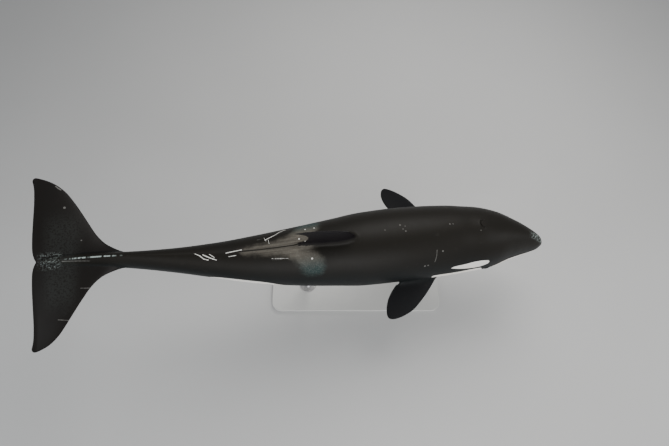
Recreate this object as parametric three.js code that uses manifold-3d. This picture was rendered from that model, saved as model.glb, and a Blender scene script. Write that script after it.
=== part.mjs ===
// A life-size female orca, swimming with its tail on the upstroke, on a plain stand with two rods.
// Sizes are in millimetres. +X runs towards the snout, +Y to the animal's left and +Z up.
// The origin is on the floor, under the middle of the stand's base.
// The animal is drawn straight first: a point is given by how far behind the snout it lies, as a share
// of LENGTH, and by its distances left and up from the spine. The spine then bends it into the pose.
import * as THREE from "three";
import Module from "manifold-3d";

const wasm = await Module();
wasm.setup();
const { Manifold, Mesh } = wasm;

// Driving sizes
const LENGTH = 5850; // snout tip to the notch between the flukes, along the spine
const SPINE_HEIGHT = 1300; // spine above the floor where the animal balances
const BALANCE_AT = 0.405; // share of LENGTH that stands over the origin
const GAP = 0.3; // clearance between neighbouring solids
const EDGE = 3; // thickness of a fin's trailing edge
const WELD = 0.01; // points closer than this are one point

// Body sections, in shares of LENGTH: place, half width, height of the widest line, top and bottom,
// all from the spine, and how keeled the section is above and below (1 is an ellipse, more is sharper)
const BODY = [
  [0.0, 0.0058, -0.025, -0.0125, -0.034, 0.95],
  [0.02, 0.0178, -0.0242, 0.0075, -0.0425, 0.94],
  [0.05, 0.0304, -0.0237, 0.0295, -0.0525, 0.93],
  [0.08, 0.0425, -0.0218, 0.047, -0.0615, 0.93],
  [0.12, 0.0585, -0.0176, 0.0645, -0.0715, 0.94],
  [0.16, 0.0665, -0.012, 0.0745, -0.0795, 0.96],
  [0.22, 0.0722, -0.008, 0.083, -0.0875, 0.98],
  [0.28, 0.0746, -0.004, 0.0875, -0.092, 1.0],
  [0.34, 0.0752, 0.0, 0.089, -0.0935, 1.0],
  [0.4, 0.0736, 0.0, 0.0875, -0.0915, 1.0],
  [0.46, 0.0668, 0.0, 0.0815, -0.086, 1.0],
  [0.54, 0.0574, 0.0, 0.069, -0.0725, 1.02],
  [0.62, 0.0462, 0.0, 0.056, -0.0565, 1.08],
  [0.7, 0.0326, 0.0, 0.044, -0.0435, 1.16],
  [0.78, 0.021, 0.0, 0.035, -0.034, 1.25],
  [0.86, 0.0135, 0.0, 0.029, -0.0265, 1.32],
  [0.92, 0.0116, 0.0, 0.0185, -0.0165, 1.3],
  [0.96, 0.0085, 0.0, 0.011, -0.0095, 1.2],
  [0.992, 0.004, 0.0, 0.0045, -0.0035, 1.0],
];
const SNOUT_ROUND = 0.014; // share of LENGTH over which the snout's tip is rounded
const STOCK_ROUND = 0.006; // the same at the end of the tail stock
const STOCK_END = 0.992; // where the tail stock runs out, just ahead of the notch
const BODY_RINGS = 58;
const SNOUT_RINGS = 5;
const STOCK_RINGS = 3;
const BODY_SIDES = 40;

// The pose, in degrees: place, how far the snout points up, how far it turns left and the roll
const POSE = [
  [0.0, -2, -6.6, 0],
  [0.2, -3, 6, 0],
  [0.4, -5, 9, 0],
  [0.55, -9.5, 8.5, 0],
  [0.7, -15, 5.2, 0],
  [0.85, -17, 4.6, 1.5],
  [1.0, -9, 8.2, 12.5],
];
const SPINE_STEPS = 400;

// Where the body is divided
const NECK_AT = 0.19;
const CHEST_END = 0.36;
const TRUNK_END = 0.555;
const LOIN_END = 0.745;
const CUTTER_REACH = 900;

// The mouth line, in shares of LENGTH: place and height, from under the snout's tip to the corner
const MOUTH = [
  [-0.01, -0.0265],
  [0.012, -0.0275],
  [0.035, -0.0272],
  [0.06, -0.0228],
  [0.078, -0.0192],
  [0.092, -0.0178],
  [0.105, -0.0187],
  [0.118, -0.0225],
];
const MOUTH_STEPS = 18;
const JAW_HINGE = [0.155, -0.115]; // where the cut behind the lower jaw leaves the throat
const LIP_GROOVE = 6; // radius of the groove between the lips
const LIP_ROLL = 18; // radius of the raised lips
const LIP_DEPTH = 12; // how far under the skin the lips are centred
const LIP_SIDES = 6;

// Eyes
const EYE_AT = 0.134;
const EYE_HEIGHT = -0.0198; // share of LENGTH
const EYE_RADIUS = 30;
const EYE_DEPTH = 26; // its centre under the skin
const LID = [64, 42, 24]; // half sizes of the raised lids: along, up and out
const LID_DEPTH = 17; // centre of the lids under the skin
const EYE_OPENING = [27, 14, 34];

// The blowhole, a crescent with its horns forwards, on a low mound a little left of the midline
const BLOWHOLE_AT = 0.162;
const BLOWHOLE_TURN = 1.5; // degrees round from the midline
const BLOWHOLE_MOUND = [130, 105, 42];
const BLOWHOLE_MOUND_DEPTH = 33;
const BLOWHOLE_RADIUS = 46;
const BLOWHOLE_SWEEP = 190; // degrees of arc
const BLOWHOLE_WIDTH = 11;
const BLOWHOLE_DEPTH = 22;

// Dorsal fin, from a root line inside the back: place of the edges in shares of LENGTH, half thickness
const FIN_ROOT = 400;
const FIN_SPAN = 585;
const FIN_LEAN = 95; // how far the tip leans to the right
const FIN = [
  [0.0, 0.412, 0.55, 40],
  [0.17, 0.4255, 0.5275, 36],
  [0.3, 0.4305, 0.5235, 32],
  [0.45, 0.437, 0.5235, 27],
  [0.6, 0.4445, 0.5275, 21],
  [0.75, 0.4605, 0.535, 15],
  [0.88, 0.4815, 0.547, 10],
  [0.95, 0.4955, 0.5575, 7],
  [1.0, 0.508, 0.567, 5],
];

// Flukes, from the midline out to a tip
const FLUKE_SPAN = 900;
const FLUKE_DROOP = 100; // how far a fluke hangs under the root, but for its tip
const FLUKE_TIP_LIFT = 88; // how far its tip curls back up
const FLUKE = [
  [0.0, 0.842, 1.0, 33],
  [0.05, 0.8525, 1.0035, 33],
  [0.1, 0.8655, 1.0055, 32],
  [0.14, 0.8765, 1.0062, 29],
  [0.2, 0.891, 1.0066, 26],
  [0.3, 0.906, 1.0068, 22],
  [0.45, 0.921, 1.0065, 17],
  [0.6, 0.935, 1.0061, 13],
  [0.72, 0.9465, 1.0057, 10],
  [0.84, 0.9595, 1.0057, 7],
  [0.92, 0.9725, 1.0065, 5],
  [1.0, 0.9935, 1.0095, 3],
];

// Flippers, from a root inside the chest: edges ahead of and behind the flipper's own line
const FLIPPER_ROOT = { at: 0.25, left: 250, up: -255 };
const FLIPPER_SPAN = 852;
const FLIPPER_POSES = {
  left: { side: 1, sweep: 22, droop: 16, pitch: 12 },
  right: { side: -1, sweep: 46.5, droop: 8, pitch: 12 },
}; // degrees back from straight out, down, and the leading edge down
const FLIPPER = [
  [0.0, -140, 175, 42],
  [0.2, -165, 190, 38],
  [0.4, -178, 208, 30],
  [0.6, -172, 214, 22],
  [0.8, -144, 208, 14],
  [1.0, -105, 175, 7],
];

// Rings along each fin and points across each face
const BLADE_RINGS = 16;
const BLADE_POINTS = 8;

// The stand
const BASE = { length: 2400, width: 1000, thick: 60, corner: 130, bevel: 6 };
const ROD_PLACES = { front: 0.285, rear: 0.525 };
const ROD_RADIUS = 45;
const FOOT = { radius: 120, thick: 18, collar: 62, collarTop: 70 };
const ROD_SIDES = 32;

const radians = THREE.MathUtils.degToRad;

// A smooth curve through one column of a list of rows, that never overshoots them
function curveThrough(rows, column) {
  const xs = rows.map((row) => row[0]);
  const ys = rows.map((row) => row[column]);
  const last = xs.length - 1;
  const secants = xs.slice(1).map((x, i) => (ys[i + 1] - ys[i]) / (x - xs[i]));
  const slopes = xs.map((_, i) => {
    if (i === 0) return secants[0];
    if (i === last) return secants[last - 1];
    const before = secants[i - 1];
    const after = secants[i];
    return before * after <= 0 ? 0 : (2 * before * after) / (before + after);
  });
  return (x) => {
    if (x <= xs[0]) return ys[0];
    if (x >= xs[last]) return ys[last];
    const i = xs.findIndex((next) => next > x) - 1;
    const width = xs[i + 1] - xs[i];
    const t = (x - xs[i]) / width;
    const rise = width * t * (1 - t) * (slopes[i] * (1 - t) - slopes[i + 1] * t);
    return ys[i] + (ys[i + 1] - ys[i]) * t * t * (3 - 2 * t) + rise;
  };
}

// From 0 at the tip to 1 at the distance "over", as a round end grows
function roundEnd(distance, over) {
  const short = 1 - THREE.MathUtils.clamp(distance / over, 0, 1);
  return Math.sqrt(1 - short * short);
}

// The bent spine: its points, and its left and up directions
function makeSpine() {
  const [noseUp, turn, roll] = [1, 2, 3].map((column) => curveThrough(POSE, column));
  const frames = [];
  const point = new THREE.Vector3();
  let before = null;
  for (let i = 0; i <= SPINE_STEPS; i++) {
    const at = i / SPINE_STEPS;
    const up = radians(noseUp(at));
    const heading = radians(turn(at));
    const flat = Math.cos(up);
    const ahead = new THREE.Vector3(Math.cos(heading) * flat, Math.sin(heading) * flat, Math.sin(up));
    const level = new THREE.Vector3(-Math.sin(heading), Math.cos(heading), 0);
    const left = level.applyAxisAngle(ahead, radians(roll(at)));
    if (before) {
      const mean = before.clone().add(ahead).multiplyScalar(0.5);
      point.addScaledVector(mean, -LENGTH / SPINE_STEPS);
    }
    before = ahead;
    frames.push({ point: point.clone(), ahead, left, up: ahead.clone().cross(left) });
  }
  const balance = frames[Math.round(BALANCE_AT * SPINE_STEPS)].point;
  const shift = new THREE.Vector3(0, 0, SPINE_HEIGHT).sub(balance);
  frames.forEach((frame) => frame.point.add(shift));
  return frames;
}

const SPINE = makeSpine();

// Bends a point of the straight animal into the pose
function place(at, left, up) {
  const step = THREE.MathUtils.clamp(at, 0, 1) * SPINE_STEPS;
  const i = Math.min(Math.floor(step), SPINE_STEPS - 1);
  const share = step - i;
  const [a, b] = [SPINE[i], SPINE[i + 1]];
  const mix = (name) => a[name].clone().lerp(b[name], share);
  const beyond = (step / SPINE_STEPS - at) * LENGTH;
  return mix("point")
    .addScaledVector(mix("ahead").normalize(), beyond)
    .addScaledVector(mix("left").normalize(), left)
    .addScaledVector(mix("up").normalize(), up);
}

const bodyCurves = [1, 2, 3, 4, 5].map((column) => curveThrough(BODY, column));

// The body's section at a place, in millimetres, larger all round by "grow"
function sectionAt(at, grow = 0) {
  const [side, level, top, bottom, keel] = bodyCurves.map((curve) => curve(at));
  const end = roundEnd(at, SNOUT_ROUND) * roundEnd(STOCK_END - at, STOCK_ROUND);
  return {
    side: side * LENGTH * end + grow,
    level: level * LENGTH,
    above: (top - level) * LENGTH * end + grow,
    below: (level - bottom) * LENGTH * end + grow,
    keel,
  };
}

// A point of the straight body's skin: left and up at an angle round the section, 0 at the left side
function skinPoint(at, angle, grow = 0) {
  const { side, level, above, below, keel } = sectionAt(at, grow);
  const across = Math.cos(angle);
  const height = Math.sin(angle);
  const left = side * Math.sign(across) * Math.abs(across) ** keel;
  return { left, up: level + (height > 0 ? above : below) * height };
}

// The angle round the section at which the skin's left side has a given height
function angleAtHeight(at, up) {
  const { level, above, below } = sectionAt(at);
  const height = (up - level) / (up > level ? above : below);
  return Math.asin(THREE.MathUtils.clamp(height, -1, 1));
}

// Joins points that lie in one place and drops the triangles that this flattens
function weld(points, triangles) {
  const kept = [];
  const index = points.map((point) => {
    const known = kept.findIndex((other) => other.distanceToSquared(point) < WELD * WELD);
    return known < 0 ? kept.push(point) - 1 : known;
  });
  const whole = triangles
    .map((corners) => corners.map((corner) => index[corner]))
    .filter(([a, b, c]) => a !== b && b !== c && c !== a);
  return [kept, whole];
}

// A closed solid from points and triangles, turned to face out
function solidFrom(points, triangles) {
  const vertProperties = new Float32Array(points.flatMap((p) => [p.x, p.y, p.z]));
  const volume = triangles.reduce((sum, [a, b, c]) => {
    return sum + points[a].dot(points[b].clone().cross(points[c]));
  }, 0);
  const facing = volume < 0 ? triangles.map(([a, b, c]) => [a, c, b]) : triangles;
  return new Manifold(new Mesh({ numProp: 3, vertProperties, triVerts: new Uint32Array(facing.flat()) }));
}

// A closed solid from a three.js geometry
function solidOf(geometry) {
  const position = geometry.getAttribute("position");
  const points = Array.from({ length: position.count }, (_, i) => {
    return new THREE.Vector3().fromBufferAttribute(position, i);
  });
  const corners = geometry.index ? Array.from(geometry.index.array) : points.map((_, i) => i);
  const triangles = Array.from({ length: corners.length / 3 }, (_, i) => corners.slice(3 * i, 3 * i + 3));
  return solidFrom(...weld(points, triangles));
}

// A closed solid between two matching grids of points, each split into triangles alike
function slabSolid(faces) {
  const rows = faces[0].length;
  const columns = faces[0][0].length;
  const corner = (face, i, j) => (face * rows + i) * columns + j;
  const triangles = [];
  for (let i = 0; i < rows - 1; i++) {
    for (let j = 0; j < columns - 1; j++) {
      [0, 1].forEach((face) => {
        const [a, b] = [corner(face, i, j), corner(face, i + 1, j)];
        const [c, d] = [corner(face, i + 1, j + 1), corner(face, i, j + 1)];
        triangles.push(face ? [a, c, b] : [a, b, c], face ? [a, d, c] : [a, c, d]);
      });
    }
  }
  const ends = [0, rows - 1].map((i) => faces[0][i].map((_, j) => [i, j]));
  const sides = [0, columns - 1].map((j) => faces[0].map((_, i) => [i, j]).slice(1, -1));
  const rim = [...ends[0], ...sides[1], ...ends[1].reverse(), ...sides[0].reverse()];
  rim.forEach((from, n) => {
    const to = rim[(n + 1) % rim.length];
    const [a, b] = [corner(0, ...from), corner(0, ...to)];
    const [c, d] = [corner(1, ...to), corner(1, ...from)];
    triangles.push([a, b, c], [a, c, d]);
  });
  return solidFrom(...weld(faces.flat(2), triangles));
}

const volumeOf = (solid) => solid.volume();
const largestFirst = (solids) => solids.sort((a, b) => volumeOf(b) - volumeOf(a));
const largest = (solid) => largestFirst(solid.decompose())[0];

// The rings of the body, close together where the ends are round
function ringPlaces(grow) {
  const start = -grow / LENGTH;
  const snout = Array.from({ length: SNOUT_RINGS }, (_, i) => {
    return SNOUT_ROUND * (1 - Math.cos(((i + 1) * Math.PI) / 2 / (SNOUT_RINGS + 1)));
  });
  const middle = Array.from({ length: BODY_RINGS }, (_, i) => {
    return THREE.MathUtils.lerp(SNOUT_ROUND, STOCK_END - STOCK_ROUND, i / (BODY_RINGS - 1));
  });
  const stock = Array.from({ length: STOCK_RINGS }, (_, i) => {
    return STOCK_END - STOCK_ROUND * Math.cos(((i + 1) * Math.PI) / 2 / (STOCK_RINGS + 1)) ** 2;
  });
  return { start, rings: [...snout, ...middle, ...stock], end: STOCK_END + grow / LENGTH };
}

// The whole body without its fins, larger all round by "grow"
function bodySolid(grow = 0) {
  const { start, rings, end } = ringPlaces(grow);
  const tip = (at) => place(at, 0, sectionAt(at).level);
  const points = [tip(start), tip(end)];
  rings.forEach((at) => {
    for (let k = 0; k < BODY_SIDES; k++) {
      const { left, up } = skinPoint(at, (2 * Math.PI * k) / BODY_SIDES, grow);
      points.push(place(at, left, up));
    }
  });
  const corner = (ring, k) => 2 + ring * BODY_SIDES + (k % BODY_SIDES);
  const triangles = [];
  for (let k = 0; k < BODY_SIDES; k++) {
    triangles.push([0, corner(0, k), corner(0, k + 1)]);
    triangles.push([1, corner(rings.length - 1, k + 1), corner(rings.length - 1, k)]);
    for (let ring = 0; ring < rings.length - 1; ring++) {
      const [a, b] = [corner(ring, k), corner(ring, k + 1)];
      const [c, d] = [corner(ring + 1, k + 1), corner(ring + 1, k)];
      triangles.push([a, d, c], [a, c, b]);
    }
  }
  return solidFrom(points, triangles);
}

// Half thickness of a fin, as a share of its greatest, from the leading edge at 0 to the trailing at 1
function finSection(x) {
  return 10 * (0.2969 * Math.sqrt(x) - 0.126 * x - 0.3516 * x ** 2 + 0.2843 * x ** 3 - 0.1015 * x ** 4);
}

// A fin, flipper or fluke. Rows give the share of the span, the leading edge, the trailing edge and the
// half thickness, and "locate" takes the share of the span, the place across and the height off the middle.
function bladeSolid(rows, tipRound, locate) {
  const [lead, trail, thick] = [1, 2, 3].map((column) => curveThrough(rows, column));
  const shares = Array.from({ length: BLADE_RINGS }, (_, i) => {
    return Math.sin((i / (BLADE_RINGS - 1)) * Math.PI * 0.497);
  });
  const face = (facing) =>
    shares.map((share) => {
      const middle = (lead(share) + trail(share)) / 2;
      const half = ((trail(share) - lead(share)) / 2) * roundEnd(1 - share, tipRound);
      return Array.from({ length: BLADE_POINTS + 1 }, (_, j) => {
        const x = 1 - Math.cos(((j / BLADE_POINTS) * Math.PI) / 2);
        const height = j === 0 ? 0 : Math.max(thick(share) * finSection(x), EDGE / 2);
        return locate(share, middle - half + 2 * half * x, facing * height);
      });
    });
  return slabSolid([face(1), face(-1)]);
}

const FIN_TIP_ROUND = 0.08;
const FLUKE_TIP_ROUND = 0.05;
const FLIPPER_TIP_ROUND = 0.4;

function dorsalFin() {
  return bladeSolid(FIN, FIN_TIP_ROUND, (share, at, off) => {
    return place(at, off - FIN_LEAN * share ** 1.3, FIN_ROOT + share * FIN_SPAN);
  });
}

function fluke(side) {
  return bladeSolid(FLUKE, FLUKE_TIP_ROUND, (share, at, off) => {
    const hang = FLUKE_DROOP * share ** 2 - FLUKE_TIP_LIFT * share ** 5;
    return place(at, side * (GAP / 2 + share * FLUKE_SPAN), off - hang);
  });
}

// The flipper's own directions in the straight animal: out along it, back across it, and off its face
function flipperAxes({ side, sweep, droop, pitch }) {
  const [back, down, tilt] = [sweep, droop, pitch].map(radians);
  const level = new THREE.Vector3(-Math.sin(back), side * Math.cos(back), 0);
  const out = level.multiplyScalar(Math.cos(down)).setZ(-Math.sin(down));
  const across = new THREE.Vector3(-1, 0, 0).addScaledVector(out, out.x).normalize();
  const off = across.clone().cross(out).multiplyScalar(side);
  const turn = side * tilt;
  return { out, across: across.applyAxisAngle(out, turn), off: off.applyAxisAngle(out, turn) };
}

function flipper(pose) {
  const { out, across, off } = flipperAxes(pose);
  return bladeSolid(FLIPPER, FLIPPER_TIP_ROUND, (share, back, height) => {
    const p = new THREE.Vector3(-FLIPPER_ROOT.at * LENGTH, pose.side * FLIPPER_ROOT.left, FLIPPER_ROOT.up)
      .addScaledVector(out, share * FLIPPER_SPAN)
      .addScaledVector(across, back)
      .addScaledVector(off, height);
    return place(-p.x / LENGTH, p.y, p.z);
  });
}

// A flat slab across the body at a place
function crossCut(at) {
  const box = new THREE.BoxGeometry(GAP, 2 * CUTTER_REACH, 2 * CUTTER_REACH);
  return solidOf(bent(box, at));
}

// A geometry drawn round the spine's place "at", with x ahead of it, bent into the pose
function bent(geometry, at) {
  const bentGeometry = geometry.clone();
  const position = bentGeometry.getAttribute("position");
  for (let i = 0; i < position.count; i++) {
    const [x, y, z] = [position.getX(i), position.getY(i), position.getZ(i)];
    const p = place(at - x / LENGTH, y, z);
    position.setXYZ(i, p.x, p.y, p.z);
  }
  return bentGeometry;
}

const mouthHeight = curveThrough(MOUTH, 1);
const MOUTH_CORNER = MOUTH[MOUTH.length - 1][0];

// A thin sheet along the mouth line and down behind the lower jaw
function jawCut() {
  const [start] = MOUTH[0];
  const line = Array.from({ length: MOUTH_STEPS }, (_, i) => {
    const at = THREE.MathUtils.lerp(start, MOUTH_CORNER, i / (MOUTH_STEPS - 1));
    return new THREE.Vector2(at * LENGTH, mouthHeight(at) * LENGTH);
  });
  line.push(new THREE.Vector2(...JAW_HINGE).multiplyScalar(LENGTH));
  const across = Array.from({ length: 9 }, (_, j) => CUTTER_REACH * (j / 4 - 1));
  const face = (facing) =>
    line.map((p, i) => {
      const along = line[Math.min(i + 1, line.length - 1)].clone().sub(line[Math.max(i - 1, 0)]);
      const normal = new THREE.Vector2(-along.y, along.x).setLength((facing * GAP) / 2);
      return across.map((left) => place((p.x + normal.x) / LENGTH, left, p.y + normal.y));
    });
  return slabSolid([face(1), face(-1)]);
}

// A bar along the line between the lips, from one corner of the mouth round the snout to the other
function lipBar(radius, depth) {
  const places = Array.from({ length: MOUTH_STEPS }, (_, i) => {
    return MOUTH_CORNER * Math.cos((i / MOUTH_STEPS) * (Math.PI / 2)) ** 1.6;
  });
  const reached = places.filter((at) => mouthHeight(at) * LENGTH > skinPoint(at, -Math.PI / 2).up);
  const [left, right] = [0, 1].map((mirrored) =>
    reached.map((at) => {
      const angle = angleAtHeight(at, mouthHeight(at) * LENGTH);
      const { point, out } = skinFrame(at, mirrored ? Math.PI - angle : angle);
      return point.addScaledVector(out, -depth);
    }),
  );
  const path = new THREE.CatmullRomCurve3([...left, ...right.reverse()]);
  return sweep(path, radius, LIP_SIDES, 2 * reached.length);
}

// A round bar of few sides along a path
function sweep(path, radius, sides, steps) {
  const outline = new THREE.Shape(
    Array.from({ length: sides }, (_, i) => {
      const angle = (2 * Math.PI * i) / sides;
      return new THREE.Vector2(radius * Math.cos(angle), radius * Math.sin(angle));
    }),
  );
  return solidOf(new THREE.ExtrudeGeometry(outline, { steps, extrudePath: path, bevelEnabled: false }));
}

// The skin's frame at a place and angle: its point, and directions ahead, up along the skin and out
function skinFrame(at, angle) {
  const step = 0.002;
  const point = (a, b) => {
    const { left, up } = skinPoint(a, b);
    return place(a, left, up);
  };
  const ahead = point(at - step, angle).sub(point(at + step, angle)).normalize();
  const round = point(at, angle + step).sub(point(at, angle - step)).normalize();
  const out = ahead.clone().cross(round).normalize();
  const middle = place(at, 0, sectionAt(at).level);
  if (out.dot(point(at, angle).sub(middle)) < 0) out.negate();
  return { point: point(at, angle), ahead, up: out.clone().cross(ahead), out };
}

// An ellipsoid set in the skin, with its half sizes along, round and out of the skin
function skinLump(frame, halves, depth, across = 20, down = 12) {
  const [along, round, out] = halves;
  const lump = new THREE.SphereGeometry(1, across, down).scale(along, round, out);
  const axes = new THREE.Matrix4().makeBasis(frame.ahead, frame.up, frame.out);
  lump.applyMatrix4(axes.setPosition(frame.point.clone().addScaledVector(frame.out, -depth)));
  return solidOf(lump);
}

function eyeFrame(side) {
  const angle = angleAtHeight(EYE_AT, EYE_HEIGHT * LENGTH);
  return skinFrame(EYE_AT, side > 0 ? angle : Math.PI - angle);
}

function eyeball(side, grow = 0) {
  const radius = EYE_RADIUS + grow;
  return skinLump(eyeFrame(side), [radius, radius, radius], EYE_DEPTH, 16, 10);
}

const blowholeFrame = () => skinFrame(BLOWHOLE_AT, Math.PI / 2 - radians(BLOWHOLE_TURN));

// The crescent slit of the blowhole, cut straight into its mound
function blowholeSlit() {
  const half = radians(BLOWHOLE_SWEEP / 2);
  const steps = 12;
  const edges = [0.5, -0.5].map((side) =>
    Array.from({ length: steps + 1 }, (_, i) => {
      const angle = THREE.MathUtils.lerp(-half, half, i / steps);
      const width = BLOWHOLE_WIDTH * Math.cos(0.85 * angle);
      const radius = BLOWHOLE_RADIUS + side * width;
      return new THREE.Vector2(-radius * Math.cos(angle), radius * Math.sin(angle));
    }),
  );
  const outline = new THREE.Shape([...edges[0], ...edges[1].reverse()]);
  const slit = new THREE.ExtrudeGeometry(outline, { depth: 4 * BLOWHOLE_DEPTH, bevelEnabled: false });
  slit.translate(0, 0, -BLOWHOLE_DEPTH);
  const { ahead, up, out, point } = blowholeFrame();
  return solidOf(slit.applyMatrix4(new THREE.Matrix4().makeBasis(ahead, up, out).setPosition(point)));
}

// The stand's rods rise to the belly and end on it
function rod(at, body) {
  const { collar, collarTop, radius, thick } = FOOT;
  const foot = BASE.thick + GAP;
  const profile = [
    [0, foot],
    [radius, foot],
    [radius, foot + thick],
    [collar, foot + thick + 8],
    [ROD_RADIUS, foot + collarTop],
    [ROD_RADIUS, SPINE_HEIGHT],
    [0, SPINE_HEIGHT],
  ].map(([x, y]) => new THREE.Vector2(x, y));
  const lathe = new THREE.LatheGeometry(profile, ROD_SIDES);
  lathe.rotateX(Math.PI / 2);
  const under = place(at, 0, 0);
  lathe.translate(under.x, under.y, 0);
  return largest(solidOf(lathe).subtract(body));
}

function base() {
  const { length, width, thick, corner, bevel } = BASE;
  const [x, y] = [length / 2, width / 2];
  const outline = new THREE.Shape();
  outline.moveTo(-x + corner, -y);
  outline.lineTo(x - corner, -y);
  outline.absarc(x - corner, -y + corner, corner, -Math.PI / 2, 0);
  outline.absarc(x - corner, y - corner, corner, 0, Math.PI / 2);
  outline.absarc(-x + corner, y - corner, corner, Math.PI / 2, Math.PI);
  outline.absarc(-x + corner, -y + corner, corner, Math.PI, Math.PI * 1.5);
  const plate = new THREE.ExtrudeGeometry(outline, {
    depth: thick - 2 * bevel,
    bevelThickness: bevel,
    bevelSize: bevel,
    bevelOffset: -bevel,
    bevelSegments: 1,
    curveSegments: 6,
  });
  plate.translate(0, 0, bevel);
  return solidOf(plate);
}

const MATERIALS = {
  black: new THREE.MeshStandardMaterial({ color: 0x16171a, roughness: 0.42, metalness: 0 }),
  white: new THREE.MeshStandardMaterial({ color: 0xe9e7e0, roughness: 0.45, metalness: 0 }),
  eye: new THREE.MeshStandardMaterial({ color: 0x1c1410, roughness: 0.12, metalness: 0 }),
  paint: new THREE.MeshStandardMaterial({ color: 0xc9c8c3, roughness: 0.6, metalness: 0 }),
  steel: new THREE.MeshStandardMaterial({ color: 0xa9abad, roughness: 0.35, metalness: 1 }),
};

function meshOf(name, solid, material) {
  const { numProp, vertProperties, triVerts } = solid.getMesh();
  const geometry = new THREE.BufferGeometry();
  geometry.setAttribute("position", new THREE.BufferAttribute(new Float32Array(vertProperties), numProp));
  geometry.setIndex(new THREE.BufferAttribute(new Uint32Array(triVerts), 1));
  geometry.computeVertexNormals();
  const mesh = new THREE.Mesh(geometry, material.clone());
  mesh.name = name;
  return mesh;
}

// The flesh with its lids, blowhole and lips, still in one piece
function wholeBody() {
  let body = bodySolid();
  body = body.add(skinLump(blowholeFrame(), BLOWHOLE_MOUND, BLOWHOLE_MOUND_DEPTH, 24, 10));
  body = body.subtract(blowholeSlit());
  body = body.add(lipBar(LIP_ROLL, LIP_DEPTH));
  body = body.subtract(lipBar(LIP_GROOVE, 0));
  [1, -1].forEach((side) => {
    body = body.add(skinLump(eyeFrame(side), LID, LID_DEPTH, 20, 10));
    body = body.subtract(skinLump(eyeFrame(side), EYE_OPENING, 0, 16, 8));
    body = body.subtract(eyeball(side, GAP));
  });
  return body;
}

function makeOrca() {
  const group = new THREE.Group();
  const add = (name, solid, material) => group.add(meshOf(name, solid, MATERIALS[material]));
  const grown = bodySolid(GAP);

  const cuts = [NECK_AT, CHEST_END, TRUNK_END, LOIN_END].map(crossCut);
  const lengths = cuts.reduce((body, cut) => body.subtract(cut), wholeBody()).decompose();
  const frontFirst = lengths
    .filter((solid) => volumeOf(solid) > 1e5)
    .sort((a, b) => b.boundingBox().max[0] - a.boundingBox().max[0]);
  const [front, chest, trunk, loin, stock] = frontFirst;
  const [head, jaw] = largestFirst(front.subtract(jawCut()).decompose());
  add("head", head, "black");
  add("lower_jaw", jaw, "white");
  add("chest", chest, "black");
  add("trunk", trunk, "black");
  add("loin", loin, "black");
  add("tail_stock", stock, "black");

  add("dorsal_fin", largest(dorsalFin().subtract(grown)), "black");
  Object.entries(FLIPPER_POSES).forEach(([name, pose]) => {
    add(`fluke_${name}`, largest(fluke(pose.side).subtract(grown)), "black");
    add(`flipper_${name}`, largest(flipper(pose).subtract(grown)), "black");
    add(`eye_${name}`, eyeball(pose.side), "eye");
  });

  add("stand_base", base(), "paint");
  Object.entries(ROD_PLACES).forEach(([name, at]) => add(`stand_rod_${name}`, rod(at, grown), "steel"));
  return group;
}

export default makeOrca();
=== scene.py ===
"""The looks of a life-size orca on a plain display stand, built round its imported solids.

The animal is drawn straight first, as its solids are. A point has a place along the body, as a share of
its length behind the snout's tip, and distances left and up from the spine, in metres. The spine then
bends it into its pose. One skin covers all the flesh, two eyes sit in it, and the stand keeps its solids.
"""

import logging
import math
from contextlib import contextmanager
from dataclasses import dataclass, field
from enum import Enum
from functools import cached_property, partial, reduce
from typing import Callable, Iterator, Sequence

import bmesh
import bpy
import numpy as np
from mathutils import Matrix, Vector
from mathutils.bvhtree import BVHTree

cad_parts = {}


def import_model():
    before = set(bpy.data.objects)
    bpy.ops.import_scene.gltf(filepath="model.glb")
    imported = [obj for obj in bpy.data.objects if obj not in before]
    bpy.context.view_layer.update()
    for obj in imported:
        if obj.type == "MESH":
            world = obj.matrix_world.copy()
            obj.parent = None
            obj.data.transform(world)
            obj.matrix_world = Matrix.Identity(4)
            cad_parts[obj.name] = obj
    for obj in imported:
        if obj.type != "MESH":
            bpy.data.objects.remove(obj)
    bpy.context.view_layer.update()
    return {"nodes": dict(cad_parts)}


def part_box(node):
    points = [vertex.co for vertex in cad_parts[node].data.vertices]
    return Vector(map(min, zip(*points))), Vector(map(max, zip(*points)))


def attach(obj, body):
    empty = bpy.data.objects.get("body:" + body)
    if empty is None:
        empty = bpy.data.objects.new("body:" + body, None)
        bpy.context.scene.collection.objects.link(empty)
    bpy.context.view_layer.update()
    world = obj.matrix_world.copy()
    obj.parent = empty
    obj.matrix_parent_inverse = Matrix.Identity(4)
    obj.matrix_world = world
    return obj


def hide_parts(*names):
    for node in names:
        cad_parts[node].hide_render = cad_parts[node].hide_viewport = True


LOG = logging.getLogger("orca")
BODY = "root"
LENGTH = 5.85
FRAME_WIDTH = 669
EYE_AT, EYE_UP = 0.134, -0.0198 * LENGTH
BLOWHOLE_AT, BLOWHOLE_ABOVE = 0.162, math.radians(88.5)

Array = np.ndarray
Rows = Sequence[Sequence[float]]
Faces = list[list[int]]
Triple = tuple[float, float, float]
Socket = bpy.types.NodeSocket
Locate = Callable[[Array, Array, Array], Array]
Within = Callable[[Array, Array], Array]


class Side(Enum):
    """A side of the animal, as the sign of its distance left of the spine."""

    LEFT = 1
    RIGHT = -1


class Slot(Enum):
    """Names for the finishes of the skin, the eyes and the stand's steel."""

    SKIN = "skin_dark"
    EYE = "eye"
    STEEL = "stand_steel"


def smooth_step(low: float, high: float, x: Array) -> Array:
    """Rises smoothly from 0 at low to 1 at high.

    Args:
        low: Where the rise starts. It may be above high, and the step then falls.
        high: Where the rise ends.
        x: The values to place on the step.

    Returns:
        The height of the step at each value.
    """
    t = np.clip((x - low) / (high - low), 0, 1)
    return t * t * (3 - 2 * t)

def bell(x: Array, width: float) -> Array:
    """A smooth hump, 1 in the middle and near 0 from two widths away."""
    return np.exp(-np.square(x / width))


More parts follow.
